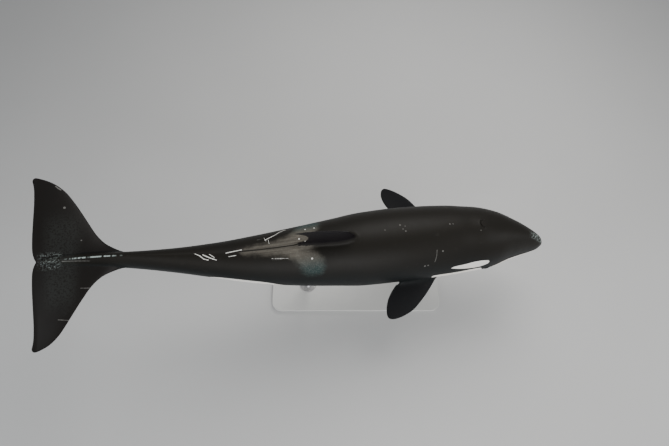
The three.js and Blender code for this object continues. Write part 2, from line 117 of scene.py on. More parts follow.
def mound(x: Array, y: Array, long: float, wide: float) -> Array:
    """A smooth oval hump, 1 in the middle."""
    return np.exp(-(np.square(x / long) + np.square(y / wide)))


def between(x: Array, low: float, high: float) -> Array:
    """Whether values lie between two limits."""
    return (x > low) & (x < high)


def pairs(x: Array, y: Array) -> Array:
    """Two lists of numbers as one list of flat points."""
    return np.stack([x, y], axis=1)


def round_end(distance: Array, over: float) -> Array:
    """The share of its full size that a round end has reached at a distance from its tip."""
    short = 1 - np.clip(distance / over, 0, 1)
    return np.sqrt(1 - short * short)


def unit(vectors: Array) -> Array:
    """The vectors, each at length 1."""
    return vectors / np.maximum(np.linalg.norm(vectors, axis=-1, keepdims=True), 1e-12)


class SmoothCurve:
    """A smooth curve through one column of a list of rows, that never overshoots them."""

    def __init__(self, rows: Rows, column: int) -> None:
        """Fits the curve.

        Args:
            rows: Rows of numbers, whose first column is the place along the curve.
            column: The column that the curve runs through.
        """
        table = np.array(rows, float)
        self.places, self.values = table[:, 0], table[:, column]
        secants = np.diff(self.values) / np.diff(self.places)
        before, after = secants[:-1], secants[1:]
        same = before * after > 0
        inner = np.where(same, 2 * before * after / np.where(same, before + after, 1), 0)
        self.slopes = np.concatenate([secants[:1], inner, secants[-1:]])

    def __call__(self, x: Array) -> Array:
        """The curve's height at each place."""
        x = np.clip(x, self.places[0], self.places[-1])
        i = np.clip(np.searchsorted(self.places, x, "right") - 1, 0, len(self.places) - 2)
        width = self.places[i + 1] - self.places[i]
        t = (x - self.places[i]) / width
        rise = width * t * (1 - t) * (self.slopes[i] * (1 - t) - self.slopes[i + 1] * t)
        return self.values[i] + (self.values[i + 1] - self.values[i]) * t * t * (3 - 2 * t) + rise


@dataclass(frozen=True)
class Spine:
    """The spine, which bends the straight animal into its pose.

    Each row of the pose has a place, then how far the snout points up and turns left there, and the
    roll, in degrees.
    """

    pose: Rows = (
        (0.0, -2, -6.6, 0), (0.2, -3, 6, 0), (0.4, -5, 9, 0), (0.55, -9.5, 8.5, 0),
        (0.7, -15, 5.2, 0), (0.85, -17, 4.6, 1.5), (1.0, -9, 8.2, 12.5),
    )
    height: float = 1.3
    balance_at: float = 0.405
    steps: int = 400
    searches: int = 14
    points: Array = field(init=False)
    axes: Array = field(init=False)

    def __post_init__(self) -> None:
        """Works out the spine's points and its directions ahead, left and up."""
        at = np.arange(self.steps + 1) / self.steps
        rise, turn, roll = (np.radians(SmoothCurve(self.pose, c)(at))[:, None] for c in (1, 2, 3))
        flat = np.cos(rise)
        ahead = np.hstack([np.cos(turn) * flat, np.sin(turn) * flat, np.sin(rise)])
        level = np.hstack([-np.sin(turn), np.cos(turn), 0 * turn])
        left = level * np.cos(roll) + np.cross(ahead, level) * np.sin(roll)
        run = np.cumsum((ahead[1:] + ahead[:-1]) / 2, axis=0) * LENGTH / self.steps
        points = np.vstack([np.zeros(3), -run])
        points += np.array([0, 0, self.height]) - points[round(self.balance_at * self.steps)]
        object.__setattr__(self, "points", points)
        object.__setattr__(self, "axes", np.stack([ahead, left, np.cross(ahead, left)], axis=1))

    def frame(self, at: Array) -> tuple[Array, Array]:
        """The spine's frame at each place.

        Args:
            at: Places along the body, as shares of its length.

        Returns:
            The points, and the directions ahead, left and up as three rows each.
        """
        step = np.clip(at, 0, 1) * self.steps
        i = np.minimum(np.floor(step).astype(int), self.steps - 1)
        share = step - i
        points = self.points[i] + (self.points[i + 1] - self.points[i]) * share[..., None]
        axes = unit(self.axes[i] + (self.axes[i + 1] - self.axes[i]) * share[..., None, None])
        beyond = (step / self.steps - at) * LENGTH
        return points + axes[..., 0, :] * beyond[..., None], axes

    def place(self, at: Array, left: Array, up: Array) -> Array:
        """Bends points of the straight animal into the pose.

        Args:
            at: Their places along the body.
            left: Their distances left of the spine.
            up: Their distances above the spine.

        Returns:
            The points in the pose.
        """
        at, left, up = np.broadcast_arrays(np.asarray(at, float), left, up)
        points, axes = self.frame(at)
        return points + axes[..., 1, :] * left[..., None] + axes[..., 2, :] * up[..., None]

    def straighten(self, points: Array) -> tuple[Array, Array, Array]:
        """Finds where points in the pose lie on the straight animal.

        Args:
            points: The points in the pose.

        Returns:
            Their places along the body, and their distances left and up.
        """
        at = np.interp(points[:, 0], self.points[::-1, 0], np.linspace(1, 0, self.steps + 1))
        for _ in range(self.searches):
            middle, axes = self.frame(at)
            at = at - np.sum((points - middle) * axes[:, 0], axis=1) / LENGTH
        middle, axes = self.frame(at)
        offset = points - middle
        return at, np.sum(offset * axes[:, 1], axis=1), np.sum(offset * axes[:, 2], axis=1)


@dataclass(frozen=True)
class BodyForm:
    """The body's sections without its fins.

    Each row has a place, the half width, the heights of the widest line, top and bottom over the spine,
    as shares of the length, and how keeled the section is, where 1 is an ellipse.
    """

    sections: Rows = (
        (0.0, 0.0058, -0.025, -0.0125, -0.034, 0.95), (0.02, 0.0178, -0.0242, 0.0075, -0.0425, 0.94),
        (0.05, 0.0304, -0.0237, 0.0295, -0.0525, 0.93), (0.08, 0.0425, -0.0218, 0.047, -0.0615, 0.93),
        (0.12, 0.0585, -0.0176, 0.0645, -0.0715, 0.94), (0.16, 0.0665, -0.012, 0.0745, -0.0795, 0.96),
        (0.22, 0.0722, -0.008, 0.083, -0.0875, 0.98), (0.28, 0.0746, -0.004, 0.0875, -0.092, 1.0),
        (0.34, 0.0752, 0.0, 0.089, -0.0935, 1.0), (0.4, 0.0736, 0.0, 0.0875, -0.0915, 1.0),
        (0.46, 0.0668, 0.0, 0.0815, -0.086, 1.0), (0.54, 0.0574, 0.0, 0.069, -0.0725, 1.02),
        (0.62, 0.0462, 0.0, 0.056, -0.0565, 1.08), (0.7, 0.0326, 0.0, 0.044, -0.0435, 1.16),
        (0.78, 0.021, 0.0, 0.035, -0.034, 1.25), (0.86, 0.0135, 0.0, 0.029, -0.0265, 1.32),
        (0.92, 0.0116, 0.0, 0.0185, -0.0165, 1.3), (0.96, 0.0085, 0.0, 0.011, -0.0095, 1.2),
        (0.992, 0.004, 0.0, 0.0045, -0.0035, 1.0),
    )
    snout_round: float = 0.014
    stock_round: float = 0.006
    stock_end: float = 0.992

    @cached_property
    def curves(self) -> list[SmoothCurve]:
        """A curve through each column of the sections."""
        return [SmoothCurve(self.sections, c) for c in range(1, 6)]

    def section(self, at: Array) -> tuple[Array, Array, Array, Array, Array]:
        """The section at each place.

        Args:
            at: Places along the body.

        Returns:
            The half width, the height of the widest line, the heights above and below it, and the keel.
        """
        side, level, top, bottom, keel = (curve(at) for curve in self.curves)
        end = round_end(at, self.snout_round) * round_end(self.stock_end - at, self.stock_round)
        size = LENGTH * end
        return side * size, level * LENGTH, (top - level) * size, (level - bottom) * size, keel

    def outline(self, at: Array, angle: Array) -> tuple[Array, Array]:
        """Points of the straight body's surface.

        Args:
            at: Their places along the body.
            angle: Their angles round the section, 0 at the left and a quarter turn at the top.

        Returns:
            Their distances left and up from the spine.
        """
        side, level, above, below, keel = self.section(at)
        across, height = np.cos(angle), np.sin(angle)
        left = side * np.sign(across) * np.abs(across) ** keel
        return left, level + np.where(height > 0, above, below) * height

    def angle_of(self, at: Array, left: Array, up: Array) -> tuple[Array, Array]:
        """The angle round the section at which points lie, on or off the surface.

        Args:
            at: Their places along the body.
            left: Their distances left of the spine.
            up: Their distances above the spine.

        Returns:
            The angle above the widest line, from a quarter turn down to a quarter turn up, and the
            distance from the middle, as a share of the section's size.
        """
        side, level, above, below, keel = self.section(at)
        height = (up - level) / np.maximum(np.where(up > level, above, below), 1e-6)
        across = (np.abs(left) / np.maximum(side, 1e-6)) ** (1 / keel)
        return np.arctan2(height, across), np.hypot(height, across)


@dataclass(frozen=True)
class Flesh:
    """The whole straight body in its pose, with its surface, frames and distances along the skin."""

    spine: Spine = Spine()
    form: BodyForm = BodyForm()
    rows: int = 500
    turns: int = 181
    @cached_property
    def arcs(self) -> Array:
        """The skin's length round each section, down from the top."""
        at = np.linspace(0, self.form.stock_end, self.rows)[:, None]
        angle = np.linspace(math.pi / 2, -math.pi / 2, self.turns)[None, :]
        left, up = self.form.outline(at, angle)
        steps = np.hypot(np.diff(left, axis=1), np.diff(up, axis=1))
        return np.hstack([0 * at, np.cumsum(steps, axis=1)])

    def surface(self, at: Array, angle: Array) -> Array:
        """Points of the body's surface in the pose."""
        left, up = self.form.outline(at, angle)
        return self.spine.place(at, left, up)

    def normals(self, at: Array, angle: Array) -> Array:
        """The directions out of the body's surface, in the pose."""
        step, turn = 0.0006, 0.01
        along = self.surface(at + step, angle) - self.surface(at - step, angle)
        turned = self.surface(at, angle + turn) - self.surface(at, angle - turn)
        out = unit(np.cross(turned, along))
        middle = self.spine.place(at, 0.0, self.form.section(at)[1])
        facing = np.sign(np.sum(out * (self.surface(at, angle) - middle), axis=-1, keepdims=True))
        return out * np.where(facing == 0, 1, facing)

    def arc(self, at: Array, above: Array) -> Array:
        """Distances along the skin down from the top.

        Args:
            at: Places along the body.
            above: Angles above the widest line.

        Returns:
            The distances.
        """
        row = np.clip(at / self.form.stock_end, 0, 1) * (self.rows - 1.001)
        turn = np.clip(0.5 - above / math.pi, 0, 1) * (self.turns - 1.001)
        i, j = row.astype(int), turn.astype(int)
        a, b = row - i, turn - j
        here, next_row = (self.arcs[k, j] * (1 - b) + self.arcs[k, j + 1] * b for k in (i, i + 1))
        return here * (1 - a) + next_row * a

    def angle_at(self, at: Array, up: Array) -> Array:
        """The angle above the widest line at which the skin has a height over the spine."""
        _, level, above, below, _ = self.form.section(at)
        return np.arcsin(np.clip((up - level) / np.where(up > level, above, below), -1, 1))

    def around(self, at: Array) -> Array:
        """Half the way round the section at each place, from the top to the belly."""
        return self.arc(at, np.full(np.shape(at), -math.pi / 2))


@dataclass(frozen=True)
class SkinSpot:
    """A place on the skin with its own axes, in which an eye or the blowhole is drawn."""

    flesh: Flesh
    at: float
    above: float
    side: Side = Side.LEFT

    def axes(self) -> tuple[Array, Array, Array, Array]:
        """The spot's point, and its directions ahead, round the body and out."""
        angle = self.above if self.side is Side.LEFT else math.pi - self.above
        at, turn = np.array([self.at]), np.array([angle])
        out = self.flesh.normals(at, turn)[0]
        step = 0.002
        ahead = unit(self.flesh.surface(at - step, turn) - self.flesh.surface(at + step, turn))[0]
        return self.flesh.surface(at, turn)[0], ahead, np.cross(out, ahead), out

    def local(self, points: Array) -> tuple[Array, Array, Array]:
        """The distances of points ahead, round and out of the spot."""
        origin, ahead, round_, out = self.axes()
        offset = points - origin
        return offset @ ahead, offset @ round_, offset @ out


@dataclass(frozen=True)
class Mouth:
    """The closed mouth: its line, in shares of the length, and the lips that meet at it."""

    line: Rows = (
        (-0.01, -0.0265), (0.012, -0.0275), (0.035, -0.0272), (0.06, -0.0228),
        (0.078, -0.0192), (0.092, -0.0178), (0.105, -0.0187), (0.118, -0.0225),
    )
    groove: float = 0.009
    groove_width: float = 0.0048
    rolls: Rows = ((0.005, 0.017, 0.012), (0.008, -0.018, 0.014))

    @property
    def corner(self) -> float:
        """The place of the mouth's corners."""
        return self.line[-1][0]

    def height(self, at: Array) -> Array:
        """The height of the line over the spine, in metres."""
        return SmoothCurve(self.line, 1)(at) * LENGTH

    def relief(self, at: Array, up: Array) -> Array:
        """How far the lips stand out of the head's plain surface, or sink into it."""
        off = up - self.height(at)
        shut = 1 - smooth_step(self.corner - 0.008, self.corner + 0.006, at)
        rolls = sum(height * bell(off - middle, width) for height, middle, width in self.rolls)
        return shut * (rolls - self.groove * bell(off, self.groove_width))


@dataclass(frozen=True)
class EyeSocket:
    """The lids round an eye, and the eyeball that sits in them.

    Each crease has its height over the eye, how far it reaches to both sides, and its depth. Each corner
    of the eye has its side ahead, and how steeply its furrow falls away.
    """

    spot: SkinSpot
    tilt: float = 0.12
    bulge: float = 0.009
    bulge_size: tuple[float, float] = (0.064, 0.042)
    opening: tuple[float, float] = (0.026, 0.0125)
    narrowing: float = 0.45
    creases: Rows = (
        (0.0225, 0.052, 0.0034), (0.032, 0.064, 0.0022), (-0.0205, 0.05, 0.0028), (-0.029, 0.06, 0.0015),
    )
    crease_width: float = 0.0032
    corners: Rows = ((1, -0.35), (-1, -0.15))
    furrow: float = 0.0035
    furrow_width: float = 0.003
    margin: float = 0.0026
    sink: float = 0.022
    radius: float = 0.03
    depth: float = 0.0245

    def relief(self, points: Array) -> Array:
        """How far the lids stand out of the head's plain surface, or sink at their opening."""
        x, y, _ = self.spot.local(points)
        y = self.tilt * x - y * self.spot.side.value
        long, tall = self.opening
        narrow = tall * (1 - self.narrowing * np.clip(x / long, -1, 1) ** 2)
        slit = np.hypot(x / long, y / narrow)
        lift = self.bulge * mound(x, y, *self.bulge_size)
        for height, reach, depth in self.creases:
            bow = height * (1 - (x / reach) ** 2)
            lift = lift - depth * bell(y - bow, self.crease_width) * smooth_step(1.05, 0.6, np.abs(x) / reach)
        for end, fall in self.corners:
            run = x * end - long
            ends = smooth_step(-0.004, 0.002, run) * smooth_step(0.03, 0.008, run)
            lift = lift - self.furrow * bell(y - fall * run, self.furrow_width) * ends
        return lift + self.margin * bell(slit - 1.24, 0.17) - self.sink * smooth_step(1.1, 0.82, slit)


@dataclass(frozen=True)
class Blowhole:
    """The closed blowhole: a crescent slit with its horns forwards, on a low mound."""

    spot: SkinSpot
    mound: float = 0.009
    mound_size: tuple[float, float] = (0.11, 0.09)
    radius: float = 0.044
    sweep: float = math.radians(92)
    groove: float = 0.012
    rim: float = 0.0025

    def relief(self, points: Array) -> Array:
        """How far the blowhole stands out of the back, or sinks into it."""
        x, y, _ = self.spot.local(points)
        angle = np.clip(np.arctan2(y, -x), -self.sweep, self.sweep)
        gap = np.hypot(x + self.radius * np.cos(angle), y - self.radius * np.sin(angle))
        width = 0.0035 + 0.0025 * np.cos(0.9 * angle)
        rise = self.mound * mound(x, y, *self.mound_size) + self.rim * bell(gap - 0.014, 0.009)
        return rise - self.groove * bell(gap, width)


@dataclass(frozen=True)
class BellySlits:
    """The navel and the slits in the middle of the belly, as on a female.

    Each row has where a slit starts and ends along the body, its distance from the midline in metres,
    its depth and its half width.
    """

    slits: Rows = (
        (0.472, 0.4745, 0.0, 0.006, 0.012), (0.604, 0.632, 0.0, 0.01, 0.0045),
        (0.612, 0.6235, 0.042, 0.006, 0.0035), (0.643, 0.6455, 0.0, 0.006, 0.006),
    )

    def relief(self, at: Array, off: Array) -> Array:
        """How far the belly sinks or swells at a place and a distance from its midline."""
        lift = 0 * at
        for start, stop, apart, depth, half in self.slits:
            past = np.maximum(np.maximum(start - at, at - stop), 0) * LENGTH
            gap = np.hypot(off - apart, past)
            lift = lift - depth * bell(gap, half) + 0.35 * depth * bell(gap - 2.6 * half, 1.6 * half)
        return lift


@dataclass(frozen=True)
class BladeShape:
    """A fin, a flipper or the pair of flukes: a thin tapered blade with a rounded leading edge.

    Each row has a share of the span, the leading edge, the trailing edge and half the thickness there.
    locate gives points for shares of the span, places across and heights off the middle. The blade is
    eased into the body within its reach, and a paired one runs through it from tip to tip.
    """

    name: str
    rows: Rows
    locate: Locate
    tip_round: float
    spans: int
    points: int
    reach: float
    paired: bool = False
    edge: float = 0.003

    @staticmethod
    def section(x: Array) -> Array:
        """Half the thickness from the leading edge at 0 to the trailing at 1, as a share of its most."""
        return 10 * (0.2969 * np.sqrt(x) - 0.126 * x - 0.3516 * x**2 + 0.2843 * x**3 - 0.1015 * x**4)

    def mesh(self) -> tuple[Array, Faces]:
        """Draws the blade's closed surface, as its points and its faces."""
        lead, trail, thick = (SmoothCurve(self.rows, c) for c in (1, 2, 3))
        share = np.sin(np.linspace(0, math.pi * 0.4985, self.spans))
        if self.paired:
            share = np.concatenate([-share[:0:-1], share])
        out = np.abs(share)[:, None]
        middle = (lead(out) + trail(out)) / 2
        half = (trail(out) - lead(out)) / 2 * round_end(1 - out, self.tip_round)
        x = np.concatenate([1 - np.cos(np.linspace(0, math.pi / 2, self.points + 1)[:-1]), [0.985, 0.995, 1]])
        height = np.maximum(thick(out) * self.section(x), self.edge / 2 * np.minimum(x * 40, 1))
        across = middle - half + 2 * half * x
        shares = np.broadcast_to(share[:, None], across.shape)
        upper, lower = (self.locate(shares, across, side * height) for side in (1, -1))
        rings = np.concatenate([upper, lower[:, :0:-1]], axis=1)
        count = rings.shape[1]
        last = (len(share) - 1) * count
        faces = ring_faces(len(share), count)
        faces += [list(range(count - 1, -1, -1)), list(range(last, last + count))]
        return rings.reshape(-1, 3), faces


@dataclass(frozen=True)
class Fins:
    """The sizes of the dorsal fin, the flukes and the flippers, and the blades that they make."""

    spine: Spine
    fin_root: float = 0.4
    fin_span: float = 0.585
    fin_lean: float = 0.095
    fin: Rows = (
        (0.0, 0.412, 0.55, 0.04), (0.17, 0.4255, 0.5275, 0.036), (0.3, 0.4305, 0.5235, 0.032),
        (0.45, 0.437, 0.5235, 0.027), (0.6, 0.4445, 0.5275, 0.021), (0.75, 0.4605, 0.535, 0.015),
        (0.88, 0.4815, 0.547, 0.01), (0.95, 0.4955, 0.5575, 0.007), (1.0, 0.508, 0.567, 0.005),
    )
    fluke_span: float = 0.9
    fluke_droop: float = 0.1
    fluke_tip_lift: float = 0.088
    fluke: Rows = (
        (0.0, 0.842, 1.0, 0.033), (0.05, 0.8525, 1.0035, 0.033), (0.1, 0.8655, 1.0055, 0.032),
        (0.14, 0.8765, 1.0062, 0.029), (0.2, 0.891, 1.0066, 0.026), (0.3, 0.906, 1.0068, 0.022),
        (0.45, 0.921, 1.0065, 0.017), (0.6, 0.935, 1.0061, 0.013), (0.72, 0.9465, 1.0057, 0.01),
        (0.84, 0.9595, 1.0057, 0.007), (0.92, 0.9725, 1.0065, 0.005), (1.0, 0.9935, 1.0095, 0.003),
    )
    flipper_root: Triple = (0.25, 0.25, -0.255)
    flipper_span: float = 0.852
    flipper: Rows = (
        (0.0, -0.14, 0.175, 0.042), (0.2, -0.165, 0.19, 0.038), (0.4, -0.178, 0.208, 0.03),
        (0.6, -0.172, 0.214, 0.022), (0.8, -0.144, 0.208, 0.014), (1.0, -0.105, 0.175, 0.007),
    )
    sweep: tuple[float, float] = (22, 46.5)
    droop: tuple[float, float] = (16, 8)
    pitch: float = 12

    def hang(self, share: Array) -> Array:
        """How far the flukes hang under their root at each share of their span."""
        return self.fluke_droop * share**2 - self.fluke_tip_lift * share**5

    def flipper_axes(self, side: Side) -> tuple[Array, Array, Array]:
        """A flipper's own directions: out along it, back across it and off its upper face."""
        chosen = 0 if side is Side.LEFT else 1
        back, down = math.radians(self.sweep[chosen]), math.radians(self.droop[chosen])
        sign, flat = side.value, math.cos(down)
        out = Vector((-math.sin(back) * flat, sign * math.cos(back) * flat, -math.sin(down)))
        across = (Vector((-1, 0, 0)) + out * out.x).normalized()
        off = across.cross(out) * sign
        turn = Matrix.Rotation(sign * math.radians(self.pitch), 3, out)
        return np.array(out), np.array(turn @ across), np.array(turn @ off)

    def on_back(self, share: Array, at: Array, off: Array) -> Array:
        """Places the dorsal fin, which leans a little to the right."""
        return self.spine.place(at, off - self.fin_lean * share**1.3, self.fin_root + share * self.fin_span)

    def on_tail(self, share: Array, at: Array, off: Array) -> Array:
        """Places the flukes, to both sides of the tail."""
        return self.spine.place(at, share * self.fluke_span, off - self.hang(np.abs(share)))

    def on_chest(self, side: Side, share: Array, back: Array, height: Array) -> Array:
        """Places the flipper of one side, held out from the chest."""
        out, across, off = self.flipper_axes(side)
        at, left, up = self.flipper_root
        root = np.array([-at * LENGTH, side.value * left, up])
        span = self.flipper_span * share[..., None]
        p = root + out * span + across * back[..., None] + off * height[..., None]
        return self.spine.place(-p[..., 0] / LENGTH, p[..., 1], p[..., 2])

    def blades(self) -> list[BladeShape]:
        """The dorsal fin, both flukes as one blade, and the two flippers."""
        made = [
            BladeShape("dorsal_fin", self.fin, self.on_back, 0.08, 34, 24, 0.05),
            BladeShape("flukes", self.fluke, self.on_tail, 0.05, 40, 30, 0.09, paired=True),
        ]
        for side in Side:
            locate = partial(self.on_chest, side)
            made.append(BladeShape(f"flipper_{side.name.lower()}", self.flipper, locate, 0.4, 30, 22, 0.042))
        return made


def ring_faces(rings: int, count: int, looped: bool = False) -> Faces:
    """The four-sided faces between rings of points.

    Args:
        rings: The number of rings.
        count: The number of points in each ring.
        looped: Whether the last ring joins the first.

    Returns:
        The faces, ring by ring.
    """
    faces = []
    for r in range(rings if looped else rings - 1):
        here, there = r * count, (r + 1) % rings * count
        for k in range(count):
            after = (k + 1) % count
            faces.append([here + k, here + after, there + after, there + k])
    return faces


def linked(name: str, data: bpy.types.ID) -> bpy.types.Object:
    """Puts new data in the scene as an object."""
    made = bpy.data.objects.new(name, data)
    bpy.context.scene.collection.objects.link(made)
    return made


@contextmanager
def opened(mesh: bpy.types.Mesh) -> Iterator[bmesh.types.BMesh]:
    """Opens a mesh for changes and writes them back."""
    shell = bmesh.new()
    shell.from_mesh(mesh)
    yield shell
    shell.to_mesh(mesh)
    shell.free()


def face_out(mesh: bpy.types.Mesh) -> None:
    """Turns a closed mesh's faces out."""
    with opened(mesh) as shell:
        bmesh.ops.recalc_face_normals(shell, faces=shell.faces)
        if shell.calc_volume(signed=True) < 0:
            bmesh.ops.reverse_faces(shell, faces=shell.faces)


def object_of(name: str, points: Array, faces: Faces, closed: bool = True) -> bpy.types.Object:
    """Makes a mesh object.

    Args:
        name: The object's name.
        points: The points, in metres.
        faces: The faces, as lists of points.
        closed: Whether the mesh is a closed surface, whose faces are turned out.

    Returns:
        The object, in the scene.
    """
    mesh = bpy.data.meshes.new(name)
    mesh.from_pydata(np.asarray(points, float).tolist(), [], faces)
    if closed:
        face_out(mesh)
    return linked(name, mesh)


def result_of(maker: bpy.types.Object, name: str) -> bpy.types.Object:
    """The mesh that an object's modifiers make, as an object of its own."""
    bpy.context.view_layer.update()
    ready = maker.evaluated_get(bpy.context.evaluated_depsgraph_get())
    mesh = bpy.data.meshes.new_from_object(ready)
    mesh.name = name
    return linked(name, mesh)


def points_of(mesh: bpy.types.Mesh) -> Array:
    """The mesh's points as an array."""
    flat = np.zeros(len(mesh.vertices) * 3, np.float32)
    mesh.vertices.foreach_get("co", flat)
    return flat.reshape(-1, 3).astype(float)


def move_points(mesh: bpy.types.Mesh, points: Array) -> None:
    """Moves the mesh's points to new places."""
    mesh.vertices.foreach_set("co", points.astype(np.float32).ravel())
    mesh.update()


def write_attribute(mesh: bpy.types.Mesh, name: str, values: Array) -> None:
    """Writes a number or a vector for each of the mesh's points."""
    kind, value = ("FLOAT", "value") if values.ndim == 1 else ("FLOAT_VECTOR", "vector")
    layer = mesh.attributes.new(name, kind, "POINT")
    layer.data.foreach_set(value, values.astype(np.float32).ravel())


def smooth_outline(corners: Array, rounds: int = 2, closed: bool = True) -> Array:
    """Rounds an outline off by cutting its corners.

    Args:
        corners: The outline's corners in order.
        rounds: How often its corners are cut.
        closed: Whether the last corner joins the first. An open outline keeps both ends.

    Returns:
        The corners of the smoother outline.
    """
    for _ in range(rounds):
        here, after = (corners, np.roll(corners, -1, axis=0)) if closed else (corners[:-1], corners[1:])
        cut = np.stack([here * 0.75 + after * 0.25, here * 0.25 + after * 0.75], axis=1).reshape(-1, 2)
        corners = cut if closed else np.vstack([corners[:1], cut, corners[-1:]])
    return corners


def outline_distance(points: Array, corners: Array) -> Array:
    """The distance of points from a closed flat outline, less than 0 inside it.

    Args:
        points: The points, two numbers each.
        corners: The outline's corners in order.

    Returns:
        The distances.
    """
    nearest = np.full(len(points), 9.0)
    inside = np.zeros(len(points), bool)
    for a, b in zip(corners, np.roll(corners, -1, axis=0)):
        run = b - a
        share = np.clip((points - a) @ run / max(run @ run, 1e-12), 0, 1)
        nearest = np.minimum(nearest, np.linalg.norm(points - a - share[:, None] * run, axis=1))
        spans = (a[1] > points[:, 1]) != (b[1] > points[:, 1])
        if abs(run[1]) > 1e-12:
            inside ^= spans & (points[:, 0] < a[0] + (points[:, 1] - a[1]) * run[0] / run[1])
    return np.where(inside, -nearest, nearest)


@dataclass(frozen=True)
class Markings:
    """The outlines of the patches, the same on both sides, as places along the body and degrees above its
    widest line. The white under the flukes has metres from the middle instead of degrees."""

    eye_patch: Rows = (
        (0.2305, 19.2), (0.2232, 21.6), (0.2139, 22.7), (0.204, 23.2), (0.1928, 24.2), (0.1769, 26.2),
        (0.165, 26.9), (0.152, 26.2), (0.143, 24.6), (0.1402, 20.5), (0.1408, 16.6), (0.1465, 14.3),
        (0.156, 11.3), (0.166, 9.8), (0.178, 9.8), (0.192, 11.3), (0.206, 13.3), (0.218, 15.8),
        (0.2275, 18),
    )
    white_edge: Rows = (
        (0.118, -9), (0.126, -13), (0.134, -14), (0.141, -12), (0.147, -3), (0.151, 4), (0.158, 5.4),
        (0.17, 5.2), (0.184, 4.2), (0.2, 3.2), (0.224, 2.6), (0.246, 2.2), (0.258, 2), (0.263, -1),
        (0.262, -8), (0.253, -16), (0.243, -24), (0.235, -33), (0.232, -44), (0.238, -54), (0.254, -62),
        (0.28, -67), (0.33, -70), (0.38, -70), (0.42, -67), (0.455, -59), (0.485, -49), (0.515, -38),
        (0.543, -27), (0.564, -17), (0.576, -9), (0.586, -3), (0.598, 1.5), (0.614, 4), (0.632, 5),
        (0.65, 4.6), (0.668, 3), (0.686, -0.5), (0.699, -7), (0.706, -15), (0.704, -24), (0.694, -33),
        (0.674, -43), (0.65, -51), (0.626, -58), (0.606, -64), (0.6, -69), (0.615, -73), (0.65, -75),
        (0.69, -78), (0.72, -83), (0.735, -90),
    )
    saddle: Rows = (
        (0.5, 90), (0.512, 78), (0.5, 71), (0.4915, 62), (0.488, 50), (0.4885, 38), (0.4965, 30),
        (0.51, 26.5), (0.525, 28), (0.5365, 37), (0.5435, 50), (0.5525, 61), (0.5665, 68), (0.594, 72),
        (0.622, 75), (0.642, 78), (0.652, 84), (0.656, 90),
    )
    fluke_white: Rows = (
        (0.9, 0.02), (0.925, 0.1), (0.945, 0.22), (0.958, 0.4), (0.968, 0.58), (0.98, 0.74),
        (0.99, 0.72), (0.992, 0.5), (0.993, 0.3), (0.99, 0.12), (0.975, 0.03),
    )


